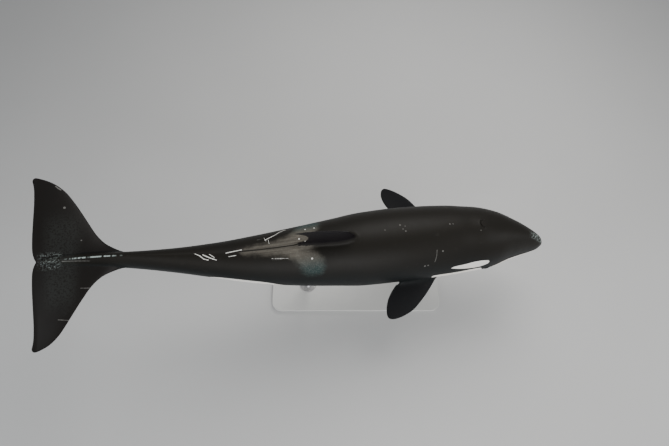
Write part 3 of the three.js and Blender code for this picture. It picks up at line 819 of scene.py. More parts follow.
class Sketch:
    """A material's node tree, drawn in few words."""

    def __init__(self, name: str) -> None:
        """Starts a material with one surface shader.

        Args:
            name: The material's name.
        """
        self.material = bpy.data.materials.new(name)
        self.material.use_nodes = True
        self.tree = self.material.node_tree
        self.shader = self.tree.nodes["Principled BSDF"]

    def node(self, kind: str, inputs: dict, output: object = 0, **settings: object) -> Socket:
        """Adds a node.

        Args:
            kind: Blender's name for the node.
            inputs: What goes into each input: a socket or a plain value.
            output: The number or name of the output to give back.
            settings: The node's own properties.

        Returns:
            The output's socket.
        """
        made = self.tree.nodes.new(kind)
        for name, value in settings.items():
            setattr(made, name, value)
        for key, value in inputs.items():
            self.put(made.inputs[key], value)
        return made.outputs[output]

    def put(self, socket: Socket, value: object) -> None:
        """Links a socket to another, or gives it a plain value."""
        if isinstance(value, bpy.types.NodeSocket):
            self.tree.links.new(value, socket)
        else:
            socket.default_value = (*value, 1.0) if socket.type == "RGBA" else value

    def math(self, kind: str, a: object, b: object, clamp: bool = False) -> Socket:
        """Joins two numbers, and keeps the result from 0 to 1 where it is clamped."""
        return self.node("ShaderNodeMath", {0: a, 1: b}, operation=kind, use_clamp=clamp)

    def times(self, *factors: object) -> Socket:
        """The product of some numbers."""
        return reduce(partial(self.math, "MULTIPLY"), factors)

    def plus(self, a: object, b: object) -> Socket:
        """The sum of two numbers."""
        return self.math("ADD", a, b)

    def most(self, *numbers: object) -> Socket:
        """The largest of some numbers."""
        return reduce(partial(self.math, "MAXIMUM"), numbers)

    def swing(self, pattern: Socket, reach: float) -> Socket:
        """A pattern turned into one that swings to both sides of 0."""
        return self.times(self.math("SUBTRACT", pattern, 0.5), reach)

    def vector(self, kind: str, a: object, b: object) -> Socket:
        """Joins two vectors, or scales the first by a number."""
        output = "Value" if kind in ("DOT_PRODUCT", "DISTANCE") else "Vector"
        second = 3 if kind == "SCALE" else 1
        return self.node("ShaderNodeVectorMath", {0: a, second: b}, output, operation=kind)

    def step(self, value: Socket, low: float, high: float) -> Socket:
        """A number that goes smoothly from 0 to 1 as a value goes from low to high."""
        start, end = (1.0, 0.0) if low > high else (0.0, 1.0)
        limits = {"From Min": min(low, high), "From Max": max(low, high), "To Min": start, "To Max": end}
        inputs = {"Value": value, **limits}
        return self.node("ShaderNodeMapRange", inputs, "Result", interpolation_type="SMOOTHSTEP", clamp=True)

    def mix(self, share: object, a: object, b: object) -> Socket:
        """Mixes two colours."""
        return self.node("ShaderNodeMix", {0: share, 6: a, 7: b}, 2, data_type="RGBA")

    def noise(self, where: Socket, scale: float, detail: float = 3, rough: float = 0.5) -> Socket:
        """A cloudy pattern, from 0 to 1."""
        inputs = {"Vector": where, "Scale": scale, "Detail": detail, "Roughness": rough}
        return self.node("ShaderNodeTexNoise", inputs, "Fac")

    def attribute(self, name: str, output: str = "Fac") -> Socket:
        """Reads one of the piece's own attributes."""
        return self.node("ShaderNodeAttribute", {}, output, attribute_name=name)

    def place(self) -> Socket:
        """The point's own place in the piece."""
        return self.node("ShaderNodeTexCoord", {}, "Object")

    def stretch(self, where: Socket, scale: Triple) -> Socket:
        """A pattern's place, stretched along its axes."""
        return self.node("ShaderNodeMapping", {"Vector": where, "Scale": scale}, "Vector")

    def bump(self, height: Socket, distance: float, strength: float, over: Socket | None = None) -> Socket:
        """Turns a height into relief, over an earlier relief where one is given."""
        inputs = {"Height": height, "Distance": distance, "Strength": strength}
        if over is not None:
            inputs["Normal"] = over
        return self.node("ShaderNodeBump", inputs, "Normal")

    def set(self, **inputs: object) -> None:
        """Sets the surface shader's sockets, with spaces in their names written as underscores."""
        for name, value in inputs.items():
            self.put(self.shader.inputs[name.replace("_", " ")], value)


@dataclass(frozen=True)
class Scar:
    """A pale scratch on the upper skin: places along the body and metres left of its ridge."""

    path: Rows
    width: float


@dataclass(frozen=True)
class SkinFinish:
    """Smooth wet skin, near-black with white and grey patches, scratches, spots and painted light and shade.
    """

    # Painted light and shade: the top colour is the near-black skin made lighter and warmer where light falls
    # from above; the colour after it is painted shade on the sides, darker and teal.
    top: Triple = (0.0095, 0.0082, 0.0062)
    flank_painted_shade: Triple = (0.0028, 0.0042, 0.0046)
    cloud: Triple = (0.015, 0.0135, 0.0115)
    fin: Triple = (0.0042, 0.0031, 0.0042)
    white: Triple = (0.82, 0.8, 0.76)
    cream: Triple = (0.8, 0.76, 0.69)
    # Painted light and shade on the saddle's grey: the first colour is near the ridge where light falls, the
    # second is darker and teal lower down.
    saddle_grey_painted_light: Triple = (0.125, 0.112, 0.092)
    saddle_painted_shade: Triple = (0.016, 0.036, 0.035)
    saddle_speckle: Triple = (0.2, 0.2, 0.18)
    saddle_streak: Triple = (0.03, 0.026, 0.02)
    scratched: Triple = (0.78, 0.77, 0.72)
    worn_and_glint: Triple = (0.36, 0.42, 0.4)
    scars: tuple[Scar, ...] = (
        Scar(((0.557, 0.3), (0.569, 0.253), (0.58, 0.193), (0.591, 0.155), (0.602, 0.12)), 0.009),
        Scar(((0.6025, 0.165), (0.6, 0.105)), 0.005),
        Scar(((0.595, 0.118), (0.5945, 0.06)), 0.005),
        Scar(((0.733, 0.0), (0.724, -0.025), (0.717, -0.06), (0.709, -0.073)), 0.008),
        Scar(((0.719, -0.014), (0.7055, -0.052), (0.694, -0.078)), 0.009),
        Scar(((0.707, -0.012), (0.698, -0.048)), 0.006),
        Scar(((0.677, -0.008), (0.664, 0.005), (0.648, 0.017)), 0.009),
        Scar(((0.6715, -0.048), (0.658, -0.04)), 0.006),
        Scar(((0.591, -0.114), (0.56, -0.138)), 0.003),
    )
    faint_scars: tuple[Scar, ...] = (
        Scar(((0.2694, -0.435), (0.267, -0.35), (0.2668, -0.274)), 0.006),
        Scar(((0.591, -0.128), (0.572, -0.139)), 0.004),
        Scar(((0.955, -0.021), (0.928, -0.032), (0.91, -0.043)), 0.006),
        Scar(((0.9735, 0.815), (0.97, 0.792), (0.9665, 0.778)), 0.012),
        Scar(((0.617, 0.14), (0.606, 0.152)), 0.004),
        Scar(((0.893, 0.42), (0.912, 0.43)), 0.004),
        Scar(((0.935, -0.62), (0.962, -0.6)), 0.005),
        Scar(((0.899, -0.3), (0.925, -0.298)), 0.004),
    )
    faint_spots: Rows = (
        (0.2542, -0.293, 0.01), (0.2893, -0.485, 0.011), (0.2827, -0.48, 0.009), (0.3256, 0.038, 0.006),
        (0.3349, 0.058, 0.008), (0.3309, 0.004, 0.006), (0.3263, -0.023, 0.007), (0.3666, 0.019, 0.006),
        (0.2344, 0.016, 0.008), (0.2278, 0.016, 0.006), (0.171, -0.07, 0.006), (0.9595, 0.576, 0.012),
        (0.929, 0.207, 0.007),
    )
    spots: Rows = (
        (0.5145, -0.178, 0.011), (0.5355, 0.066, 0.009), (0.525, 0.018, 0.007), (0.52, 0.208, 0.009),
        (0.502, 0.206, 0.008),
    )

    @staticmethod
    def scar_mask(art: Sketch, scars: Sequence[Scar], spots: Rows, chart: Socket, ragged: Socket) -> Socket:
        """Where scratches and spots are.

        Args:
            art: The material being drawn.
            scars: The scratches.
            spots: The spots: places along the body, metres left of the ridge and radii.
            chart: The place along the body and round it, in metres.
            ragged: A fine pattern that breaks their edges up.

        Returns:
            A socket that is 1 in a scratch and 0 outside.
        """
        nearest: object = 1.0
        for scar in scars:
            for (at, left), (next_at, next_left) in zip(scar.path, scar.path[1:]):
                start = Vector((at * LENGTH, left, 0))
                run = Vector((next_at * LENGTH, next_left, 0)) - start
                offset = art.vector("SUBTRACT", chart, start)
                along = art.vector("DOT_PRODUCT", offset, run / run.length_squared)
                foot = art.vector("SCALE", run, art.most(art.math("MINIMUM", along, 1.0), 0.0))
                gap = art.vector("DISTANCE", offset, foot)
                nearest = art.math("MINIMUM", nearest, art.math("SUBTRACT", gap, scar.width / 2))
        for at, left, radius in spots:
            gap = art.vector("DISTANCE", chart, (at * LENGTH, left, 0))
            nearest = art.math("MINIMUM", nearest, art.math("SUBTRACT", gap, radius))
        return art.step(art.plus(nearest, art.times(ragged, 0.009)), 0.0065, 0.002)

    @staticmethod
    def scuffs(art: Sketch, along: Socket, round_: Socket, height: Socket, place: Socket) -> Socket:
        """Where the skin is painted pale: painted highlights for glints on the snout's tip and along the
        ridge on the tail, wear at the notch's edge and faint mottling on the flukes.
        """
        off = art.math("ABSOLUTE", round_, 0.0)
        speckle = art.noise(place, 60, 5, 0.7)

        def band(start: float, stop: float, half: float, low: float, soft: float) -> Socket:
            """A speckled band along the ridge."""
            ends = art.times(art.step(along, start, start + soft), art.step(along, stop, stop - soft))
            sides = art.times(ends, art.step(off, half, half * 0.5))
            return art.times(sides, art.step(speckle, low, low + 0.12))

        # Painted highlight: pale speckles on the snout's tip stand for glints on the wet skin.
        snout = art.times(band(-0.1, 0.3, 0.07, 0.52, 0.09), art.step(height, 0.3, 0.7))
        # Painted highlight: a beaded pale line along the ridge on the tail stands for glints on the wet keel.
        beads = art.step(art.noise(art.stretch(place, (1, 0.3, 0.3)), 34, 2), 0.4, 0.56)
        ridge = art.times(band(4.95, 5.63, 0.01, 0.3, 0.25), beads)
        notch = art.times(band(5.56, 5.86, 0.11, 0.5, 0.1), 0.4)
        mottle = art.times(band(5.38, 5.84, 0.62, 0.4, 0.16), 0.03)
        upper = art.times(art.most(ridge, notch, mottle), art.step(height, 0.2, 0.6))
        return art.most(snout, upper)

    def make(self) -> bpy.types.Material:
        """Draws the material."""
        art = Sketch("orca_skin")
        place = art.place()
        chart = art.attribute("chart", "Vector")
        along, round_, height = art.node("ShaderNodeSeparateXYZ", {0: chart}).node.outputs
        flat = art.node("ShaderNodeCombineXYZ", {0: along, 1: round_})
        fine = art.noise(place, 70, 4, 0.6)
        medium = art.noise(place, 16, 5, 0.62)
        broad = art.noise(place, 3.2, 3)

        # Painted light and shade: lighter and warmer towards the top, darker and teal down the sides, with a
        # broad random wobble.
        painted_top_light = art.math("ADD", art.step(height, 0.1, 0.85), art.swing(broad, 0.5), clamp=True)
        dark = art.mix(painted_top_light, self.flank_painted_shade, self.top)
        dark = art.mix(art.step(medium, 0.58, 0.8), dark, self.cloud)
        colour = art.mix(art.attribute("limb"), dark, self.fin)

        saddle_edge = art.plus(art.attribute("saddle"), art.swing(medium, 0.12))
        saddle = art.step(saddle_edge, 0.035, -0.075)
        # Painted shade: the saddle turns darker and teal away from the ridge, down the sides.
        low = art.step(art.math("ABSOLUTE", round_, 0.0), 0.1, 0.32)
        grey = art.mix(low, self.saddle_grey_painted_light, self.saddle_painted_shade)
        speckle = art.step(art.noise(place, 62, 5, 0.75), 0.46, 0.66)
        grey = art.mix(art.times(speckle, 0.38), grey, self.saddle_speckle)
        streaks = art.step(art.noise(art.stretch(flat, (2, 42, 1)), 1, 4, 0.65), 0.42, 0.6)
        near_ridge = art.step(art.math("ABSOLUTE", round_, 0.0), 0.16, 0.08)
        grey = art.mix(art.times(streaks, near_ridge, 0.55), grey, self.saddle_streak)
        # Painted shade: from 3.1 m back the saddle stops just short of the ridge, leaving a thin dark line
        # along the ridge's crease.
        ridge = art.step(art.math("ABSOLUTE", round_, 0.0), 0.004, 0.012)
        saddle = art.times(saddle, art.most(ridge, art.step(along, 3.12, 3.02)))
        share = art.math("ADD", 0.55, art.times(medium, 0.6), clamp=True)
        colour = art.mix(art.times(saddle, share), colour, grey)

        upper = art.step(height, 0.0, 0.1)
        ragged = art.noise(place, 42, 3, 0.6)
        scars = self.scar_mask(art, self.scars, self.spots, flat, ragged)
        faint = self.scar_mask(art, self.faint_scars, self.faint_spots, flat, ragged)
        scars = art.times(art.most(scars, art.times(faint, 0.16)), upper)
        colour = art.mix(scars, colour, self.scratched)
        # Pale wear, and painted highlights for glints, on the snout, the tail's ridge and the flukes.
        colour = art.mix(self.scuffs(art, along, round_, height, place), colour, self.worn_and_glint)

        white = art.step(art.plus(art.attribute("white"), art.swing(fine, 0.004)), 0.003, -0.003)
        tint = art.mix(art.step(broad, 0.35, 0.75), self.white, self.cream)
        colour = art.mix(white, colour, tint)

        rough = art.plus(art.plus(0.46, art.times(medium, 0.12)), art.times(scars, 0.12))
        relief = art.bump(art.noise(place, 260, 3, 0.6), 0.0003, 0.4)
        relief = art.bump(medium, 0.0025, 0.2, over=relief)
        relief = art.bump(art.math("SUBTRACT", 1.0, scars), 0.002, 0.5, over=relief)
        art.set(Base_Color=colour, Roughness=rough, Normal=relief, Specular_IOR_Level=0.15)
        return art.material


@dataclass(frozen=True)
class EyeFinish:
    """A dark brown iris round a black pupil, in a reddish dark white, all glossy and wet."""

    pupil: Triple = (0.002, 0.002, 0.003)
    iris: Triple = (0.03, 0.014, 0.006)
    fibre: Triple = (0.075, 0.038, 0.014)
    rim: Triple = (0.012, 0.016, 0.024)
    sclera: Triple = (0.07, 0.036, 0.028)
    vein: Triple = (0.12, 0.03, 0.02)

    def make(self) -> bpy.types.Material:
        """Draws the material."""
        art = Sketch("orca_eye")
        ring = art.attribute("ring")
        fibres = art.noise(art.stretch(art.attribute("iris_place", "Vector"), (40, 2, 1)), 4, 4)
        iris = art.mix(fibres, self.iris, self.fibre)
        colour = art.mix(art.step(ring, 0.16, 0.2), self.pupil, iris)
        colour = art.mix(art.step(ring, 0.36, 0.43), colour, self.rim)
        colour = art.mix(art.step(ring, 0.44, 0.56), colour, self.sclera)
        veins = art.step(art.noise(art.place(), 160, 5, 0.7), 0.5, 0.8)
        art.set(Base_Color=art.mix(art.times(veins, 0.4), colour, self.vein), Specular_IOR_Level=0.3)
        art.set(Roughness=art.plus(0.08, art.times(veins, 0.1)), Coat_Weight=0.35, Coat_Roughness=0.03)
        return art.material


@dataclass(frozen=True)
class PaintFinish:
    """Matt light grey paint on steel plate, faintly pebbled and scuffed."""

    colour: Triple = (0.56, 0.56, 0.54)
    shade: Triple = (0.5, 0.5, 0.485)
    scuffed: Triple = (0.4, 0.4, 0.39)

    def make(self) -> bpy.types.Material:
        """Draws the material."""
        art = Sketch("stand_paint")
        place = art.place()
        cloud = art.noise(place, 2.5, 4)
        scuffs = art.step(art.noise(art.stretch(place, (3, 40, 40)), 3, 5, 0.7), 0.66, 0.8)
        colour = art.mix(cloud, self.colour, self.shade)
        art.set(Base_Color=art.mix(art.times(scuffs, 0.25), colour, self.scuffed))
        art.set(Roughness=art.plus(0.45, art.times(cloud, 0.2)))
        art.set(Normal=art.bump(art.noise(place, 420, 2), 0.0004, 0.4))
        return art.material


@dataclass(frozen=True)
class SteelFinish:
    """Steel brushed along its length."""

    name: str = "stand_steel"
    colour: Triple = (0.56, 0.56, 0.57)
    shade: Triple = (0.47, 0.47, 0.48)
    grain: Triple = (160, 160, 3)

    def make(self) -> bpy.types.Material:
        """Draws the material."""
        art = Sketch(self.name)
        place = art.place()
        grain = art.noise(art.stretch(place, self.grain), 2.0, 4, 0.6)
        cloud = art.noise(place, 9, 3)
        art.set(Base_Color=art.mix(cloud, self.colour, self.shade), Metallic=1.0)
        art.set(Roughness=art.plus(0.24, art.times(grain, 0.22)))
        art.set(Normal=art.bump(grain, 0.0004, 0.3))
        return art.material


@dataclass(frozen=True)
class FloorFinish:
    """A plain pale studio floor."""

    colour: Triple = (0.5, 0.5, 0.495)
    shade: Triple = (0.475, 0.475, 0.47)

    def make(self) -> bpy.types.Material:
        """Draws the material."""
        art = Sketch("studio_floor")
        cloud = art.noise(art.place(), 0.7, 3)
        art.set(Base_Color=art.mix(cloud, self.colour, self.shade), Roughness=0.7)
        return art.material


@dataclass(frozen=True)
class Muscles:
    """The low relief behind the head and along the sides of the tail stock."""

    depth: float = 0.005
    neck_at: float = 0.185
    neck_width: float = 0.018
    valley_above: float = -0.15
    valley_width: float = 0.3

    def relief(self, at: Array, above: Array) -> Array:
        """How far the body sinks at a place and an angle above its widest line."""
        neck = bell(at - self.neck_at, self.neck_width) * smooth_step(-0.4, 0.9, above)
        along = smooth_step(0.58, 0.7, at) * smooth_step(0.88, 0.8, at)
        return -self.depth * (neck + along * bell(above - self.valley_above, self.valley_width))


@dataclass(frozen=True)
class Join:
    """The surface of a fin that grows out of the body, how far it is eased, and its box."""

    tree: BVHTree
    reach: float
    low: Array
    high: Array


@dataclass
class OrcaSkin:
    """The one skin over all the flesh."""

    flesh: Flesh
    fins: Fins
    mouth: Mouth
    sockets: list[EyeSocket]
    blowhole: Blowhole
    slits: BellySlits = BellySlits()
    marks: Markings = Markings()
    finish: SkinFinish = SkinFinish()
    muscles: Muscles = Muscles()
    columns: int = 132
    ring_gaps: Sequence[float] = (0.0101, 0.018, 0.026, 0.016, 0.0135)
    head_end: float = 0.2
    tail_start: float = 0.83
    rounds: int = 70
    pull: float = 0.6

    def rings(self) -> Array:
        """The places of the skin's rings, close together at the snout, on the head and at the tail."""
        form = self.flesh.form
        snout = form.snout_round * (1 - np.cos(np.linspace(0.06, math.pi / 2, 12)[:-1]))
        on_head, to_trunk, on_trunk, to_tail, on_tail = (gap / LENGTH for gap in self.ring_gaps)
        head = np.arange(form.snout_round, self.head_end, on_head)
        trunk = np.arange(head[-1] + to_trunk, self.tail_start, on_trunk)
        tail = np.arange(trunk[-1] + to_tail, form.stock_end - form.stock_round, on_tail)
        end = form.stock_end - form.stock_round * np.cos(np.linspace(0.2, 1.5, 6)) ** 2
        return np.concatenate([snout, head, trunk, tail, end[end > tail[-1] + 1e-4]])

    def turns(self) -> Array:
        """The angles of the skin's columns, closer together round the eyes and the mouth."""
        dense = np.linspace(0, 2 * math.pi, 4001)
        fold = np.arcsin(np.clip(np.sin(dense), -1, 1))
        weight = 1 + 1.3 * bell(fold - math.radians(-6), math.radians(17))
        run = np.concatenate([[0], np.cumsum((weight[1:] + weight[:-1]) / 2)])
        share = (np.arange(self.columns) + 0.5) / self.columns
        return np.interp(share, run / run[-1], dense)

    def near(self, spot: SkinSpot, long: float, tall: float) -> Within:
        """Gives the test for the skin within reach of a spot."""

        def inside(at: Array, angle: Array) -> Array:
            """Within the ellipse round the spot."""
            x, y, z = spot.local(self.flesh.surface(at, angle))
            return (np.hypot(x / long, y / tall) < 1) & (np.abs(z) < 0.2)

        return inside

    def from_belly(self, at: Array, above: Array) -> Array:
        """Distances along the skin up from the middle of the belly."""
        return self.flesh.around(at) - self.flesh.arc(at, above)

    def regions(self) -> list[Within]:
        """Tests for the parts of the skin that get a finer mesh, in the order in which they are cut."""

        def lips(at: Array, angle: Array) -> Array:
            """Near the line of the mouth."""
            up = self.flesh.form.outline(at, angle)[1]
            return (at < self.mouth.corner + 0.008) & (np.abs(up - self.mouth.height(at)) < 0.045)

        def fin_root(at: Array, angle: Array) -> Array:
            """Under the dorsal fin."""
            return between(at, 0.405, 0.565) & (np.sin(angle) > 0.95)

        def flipper_root(at: Array, angle: Array) -> Array:
            """Round the roots of the flippers."""
            above = np.degrees(np.arcsin(np.sin(angle)))
            return between(at, 0.208, 0.305) & between(above, -51, -3)

        def belly(at: Array, angle: Array) -> Array:
            """Round the navel and the slits in the belly."""
            low = self.from_belly(at, np.arcsin(np.sin(angle))) < 0.075
            return (between(at, 0.597, 0.65) | between(at, 0.468, 0.478)) & low

        eyes, hole = [socket.spot for socket in self.sockets], self.blowhole.spot
        wide = [self.near(eye, 0.12, 0.09) for eye in eyes] + [self.near(hole, 0.12, 0.12)]
        tight = [self.near(eye, 0.095, 0.07) for eye in eyes] + [self.near(hole, 0.09, 0.09)]
        return [lips, *wide, fin_root, flipper_root, *tight, belly, belly]

    def body_mesh(self) -> bpy.types.Object:
        """The body without its fins, with its lips, lids and blowhole in relief."""
        rings, turns = self.rings(), self.turns()
        count = len(turns)
        last = (len(rings) - 1) * count
        tube = [(at, math.cos(t), math.sin(t)) for at in rings for t in turns]
        tube += [(-1e-4, 0, 0), (self.flesh.form.stock_end, 0, 0)]
        faces = ring_faces(len(rings), count)
        for k in range(count):
            faces.append([len(tube) - 2, (k + 1) % count, k])
            faces.append([len(tube) - 1, last + k, last + (k + 1) % count])
        made = object_of("orca_body", np.array(tube), faces, closed=False)
        with opened(made.data) as shell:
            for inside in self.regions():
                middles = np.array([f.calc_center_median() for f in shell.faces])
                angle = np.arctan2(middles[:, 2], middles[:, 1])
                chosen = inside(np.clip(middles[:, 0], 0.0004, 1), angle)
                taken = [face for face, take in zip(shell.faces, chosen) if take and len(face.verts) == 4]
                edges = {edge for face in taken for edge in face.edges}
                bmesh.ops.subdivide_edges(shell, edges=list(edges), cuts=1, use_grid_fill=True)
        flat = points_of(made.data)
        at = flat[:, 0]
        points = self.relieved(np.maximum(at, 0.00002), np.arctan2(flat[:, 2], flat[:, 1]))
        poles = np.hypot(flat[:, 1], flat[:, 2]) < 0.2
        points[poles] = self.flesh.spine.place(at[poles], 0.0, self.flesh.form.section(at[poles])[1])
        move_points(made.data, points)
        face_out(made.data)
        return made

    def relieved(self, at: Array, angle: Array) -> Array:
        """The body's surface with its lips, lids, blowhole and muscles in relief."""
        plain = self.flesh.surface(at, angle)
        up = self.flesh.form.outline(at, angle)[1]
        lift = self.mouth.relief(at, up) + self.blowhole.relief(plain) * (np.sin(angle) > 0.5)
        for socket in self.sockets:
            near = np.sign(np.cos(angle)) == socket.spot.side.value
            lift = lift + socket.relief(plain) * near * (at < 0.2)
        above = np.arcsin(np.sin(angle))
        lift = lift + self.muscles.relief(at, above) + self.slits.relief(at, self.from_belly(at, above))
        return plain + self.flesh.normals(at, angle) * lift[:, None]

    def joined(self) -> bpy.types.Object:
        """The body and its fins as one closed surface, eased where they meet."""
        body = self.body_mesh()
        body_tree = BVHTree.FromObject(body, bpy.context.evaluated_depsgraph_get())
        joins, others = [], []
        for blade in self.fins.blades():
            corners, faces = blade.mesh()
            other = object_of(blade.name, corners, faces)
            tree = BVHTree.FromPolygons(corners.tolist(), faces)
            joins.append(Join(tree, blade.reach, corners.min(0) - blade.reach, corners.max(0) + blade.reach))
            cut = body.modifiers.new(blade.name, "BOOLEAN")
            cut.operation, cut.solver, cut.object = "UNION", "MANIFOLD", other
            others.append(other)
        made = result_of(body, "orca_skin")
        for other in (*others, body):
            bpy.data.objects.remove(other)
        self.ease(made.data, body_tree, joins)
        return made

    def ease(self, mesh: bpy.types.Mesh, body: BVHTree, joins: list[Join]) -> None:
        """Smooths the skin where a fin grows out of the body.

        Args:
            mesh: The joined skin.
            body: The body's own surface.
            joins: The fins that grow out of it.
        """
        points = points_of(mesh)
        weight = np.zeros(len(points))
        for join in joins:
            for i in np.flatnonzero(np.all((points > join.low) & (points < join.high), axis=1)):
                gaps = [tree.find_nearest(Vector(points[i]), join.reach)[3] for tree in (join.tree, body)]
                if None not in gaps:
                    far = max(gaps) / join.reach
                    weight[i] = max(weight[i], 1 - far * far * (3 - 2 * far))
        weight *= smooth_step(0.985, 0.955, self.flesh.spine.straighten(points)[0])
        ends = np.zeros(len(mesh.edges) * 2, int)
        mesh.edges.foreach_get("vertices", ends)
        a, b = ends.reshape(-1, 2).T
        touched = (weight[a] > 0) | (weight[b] > 0)
        a, b = a[touched], b[touched]
        count = len(points)
        share = np.maximum(np.bincount(a, minlength=count) + np.bincount(b, minlength=count), 1)
        pull = (self.pull * weight)[:, None] * (share > 1)[:, None]
        for _ in range(self.rounds):
            sums = [np.bincount(a, p[b], count) + np.bincount(b, p[a], count) for p in points.T]
            points += (np.stack(sums, axis=1) / share[:, None] - points) * pull
        move_points(mesh, points)

    def mark(self, mesh: bpy.types.Mesh) -> None:
        """Writes where each point lies on the animal, and how far from each patch's outline."""
        at, left, up = self.flesh.spine.straighten(points_of(mesh))
        above, size = self.flesh.form.angle_of(at, left, up)
        # A point belongs to a fin where it stands clear of the body's own section.
        fluke = smooth_step(1.05, 1.25, size) * (at > 0.83)
        flipper = smooth_step(1.04, 1.22, size) * between(at, 0.2, 0.46) * (up < 0.02)
        dorsal = smooth_step(1.02, 1.12, size) * between(at, 0.4, 0.6) * (up > 0.3)
        over = up + self.fins.hang(np.minimum(np.abs(left) / self.fins.fluke_span, 1))
        arc = self.flesh.arc(at, above) * np.where(left < 0, -1.0, 1.0)
        on_fluke = fluke > 0.5
        facing = np.where(on_fluke, np.sign(over), np.sin(above))
        white = self.white(at, above, np.maximum(flipper, dorsal))
        white = np.where(on_fluke, self.fluke_white(at, left, over), white)
        write_attribute(mesh, "white", white)
        write_attribute(mesh, "saddle", self.saddle(at, above, dorsal))
        write_attribute(mesh, "limb", np.maximum(np.maximum(0.5 * flipper, dorsal), 0.35 * fluke))
        write_attribute(mesh, "chart", np.stack([at * LENGTH, np.where(on_fluke, left, arc), facing], axis=1))

    def chart_of(self, outline: Rows, belly: bool = False) -> Array:
        """An outline's corners in metres along the skin.

        Args:
            outline: Places and degrees above the widest line.
            belly: Whether the distance round is up from the belly, and not down from the back.

        Returns:
            The corners.
        """
        at, above = np.array(outline, float).T
        measure = self.from_belly if belly else self.flesh.arc
        return pairs(at * LENGTH, measure(at, np.radians(above)))

    def white(self, at: Array, above: Array, fins: Array) -> Array:
        """The distance from the edges of the body's white areas, less than 0 inside."""
        place = pairs(at * LENGTH, self.flesh.arc(at, above))
        patch = outline_distance(place, smooth_outline(self.chart_of(self.marks.eye_patch), 1))

        lip_at = np.linspace(0.0015, self.mouth.corner, 24)
        lip = np.degrees(self.flesh.angle_at(lip_at, self.mouth.height(lip_at)))
        front = self.chart_of(pairs(lip_at, lip), belly=True)
        behind = [row for row in self.marks.white_edge if row[0] > self.mouth.corner - 0.001]
        edge = smooth_outline(np.vstack([front, self.chart_of(behind, belly=True)]), closed=False)
        closing = np.array([[edge[-1][0], -0.5], [-0.5, -0.5], [-0.5, edge[0][1]]])
        low_place = pairs(at * LENGTH, self.from_belly(at, above))
        belly = outline_distance(low_place, np.vstack([edge, closing]))
        return np.minimum(patch, np.where(fins > 0.02, np.maximum(belly, fins * 0.2), belly))

    def fluke_white(self, at: Array, left: Array, over: Array) -> Array:
        """The distance from the edge of the white under the flukes, less than 0 inside."""
        under = smooth_outline(np.array(self.marks.fluke_white, float) * [LENGTH, 1])
        return np.where(over < 0, outline_distance(pairs(at * LENGTH, np.abs(left)), under), 0.5)

    def saddle(self, at: Array, above: Array, fin: Array) -> Array:
        """The distance from the grey saddle's edge, less than 0 inside."""
        corners = self.chart_of(self.marks.saddle)
        ends = np.array([[corners[-1][0], -0.4], [corners[0][0], -0.4]])
        edge = np.vstack([smooth_outline(corners, closed=False), ends])
        return np.where(fin > 0.1, 0.3, outline_distance(pairs(at * LENGTH, self.flesh.arc(at, above)), edge))

    def build(self) -> bpy.types.Object:
        """Builds the skin, dresses it and sets it on the frame."""
        made = self.joined()
        self.mark(made.data)
        made.data.shade_smooth()
        made.data.materials.clear()
        made.data.materials.append(self.finish.make())
        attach(made, BODY)
        flesh = ("head", "lower_jaw", "chest", "trunk", "loin", "tail_stock", "dorsal_fin")
        pairs = ("fluke_left", "fluke_right", "flipper_left", "flipper_right")
        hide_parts(*flesh, *pairs)
        return made


@dataclass
class Eye:
    """An eyeball with its clear front, iris and pupil."""

    socket: EyeSocket
    segments: int = 48

    def build(self, material: bpy.types.Material) -> bpy.types.Object:
        """Builds the eyeball and sets it in its socket.

        Args:
            material: The finish of both eyes.

        Returns:
            The finished eyeball.
        """
        side = self.socket.spot.side.name.lower()
        origin, ahead, round_, out = self.socket.spot.axes()
        centre = origin - out * self.socket.depth
        polar = np.concatenate([np.linspace(0, 0.7, 22), np.linspace(0.76, math.pi, 24)])[:, None]
        turn = (np.arange(self.segments) * 2 * math.pi / self.segments)[None, :]
        p, t = np.broadcast_arrays(polar, turn)
        r = self.socket.radius * (1 - 0.012 + 0.03 * bell(p, 0.36))
        x, y, z = r * np.sin(p) * np.cos(t), r * np.sin(p) * np.sin(t), r * np.cos(p)
        points = centre + x[..., None] * ahead + y[..., None] * round_ + z[..., None] * out
        faces = ring_faces(len(polar), self.segments)
        made = object_of(f"eyeball_{side}", points.reshape(-1, 3), faces, closed=False)
        write_attribute(made.data, "ring", (p * (1 - 0.3 * np.cos(t) ** 2 * bell(p, 0.3))).ravel())
        spread = np.stack([np.cos(t) * 0.2, p, np.sin(t) * 0.2], axis=-1)
        write_attribute(made.data, "iris_place", spread.reshape(-1, 3))
        with opened(made.data) as shell:
            bmesh.ops.remove_doubles(shell, verts=shell.verts, dist=1e-6)
            bmesh.ops.recalc_face_normals(shell, faces=shell.faces)
        made.data.shade_smooth()
        made.data.materials.append(material)
        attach(made, BODY)
        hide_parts(f"eye_{side}")
        return made


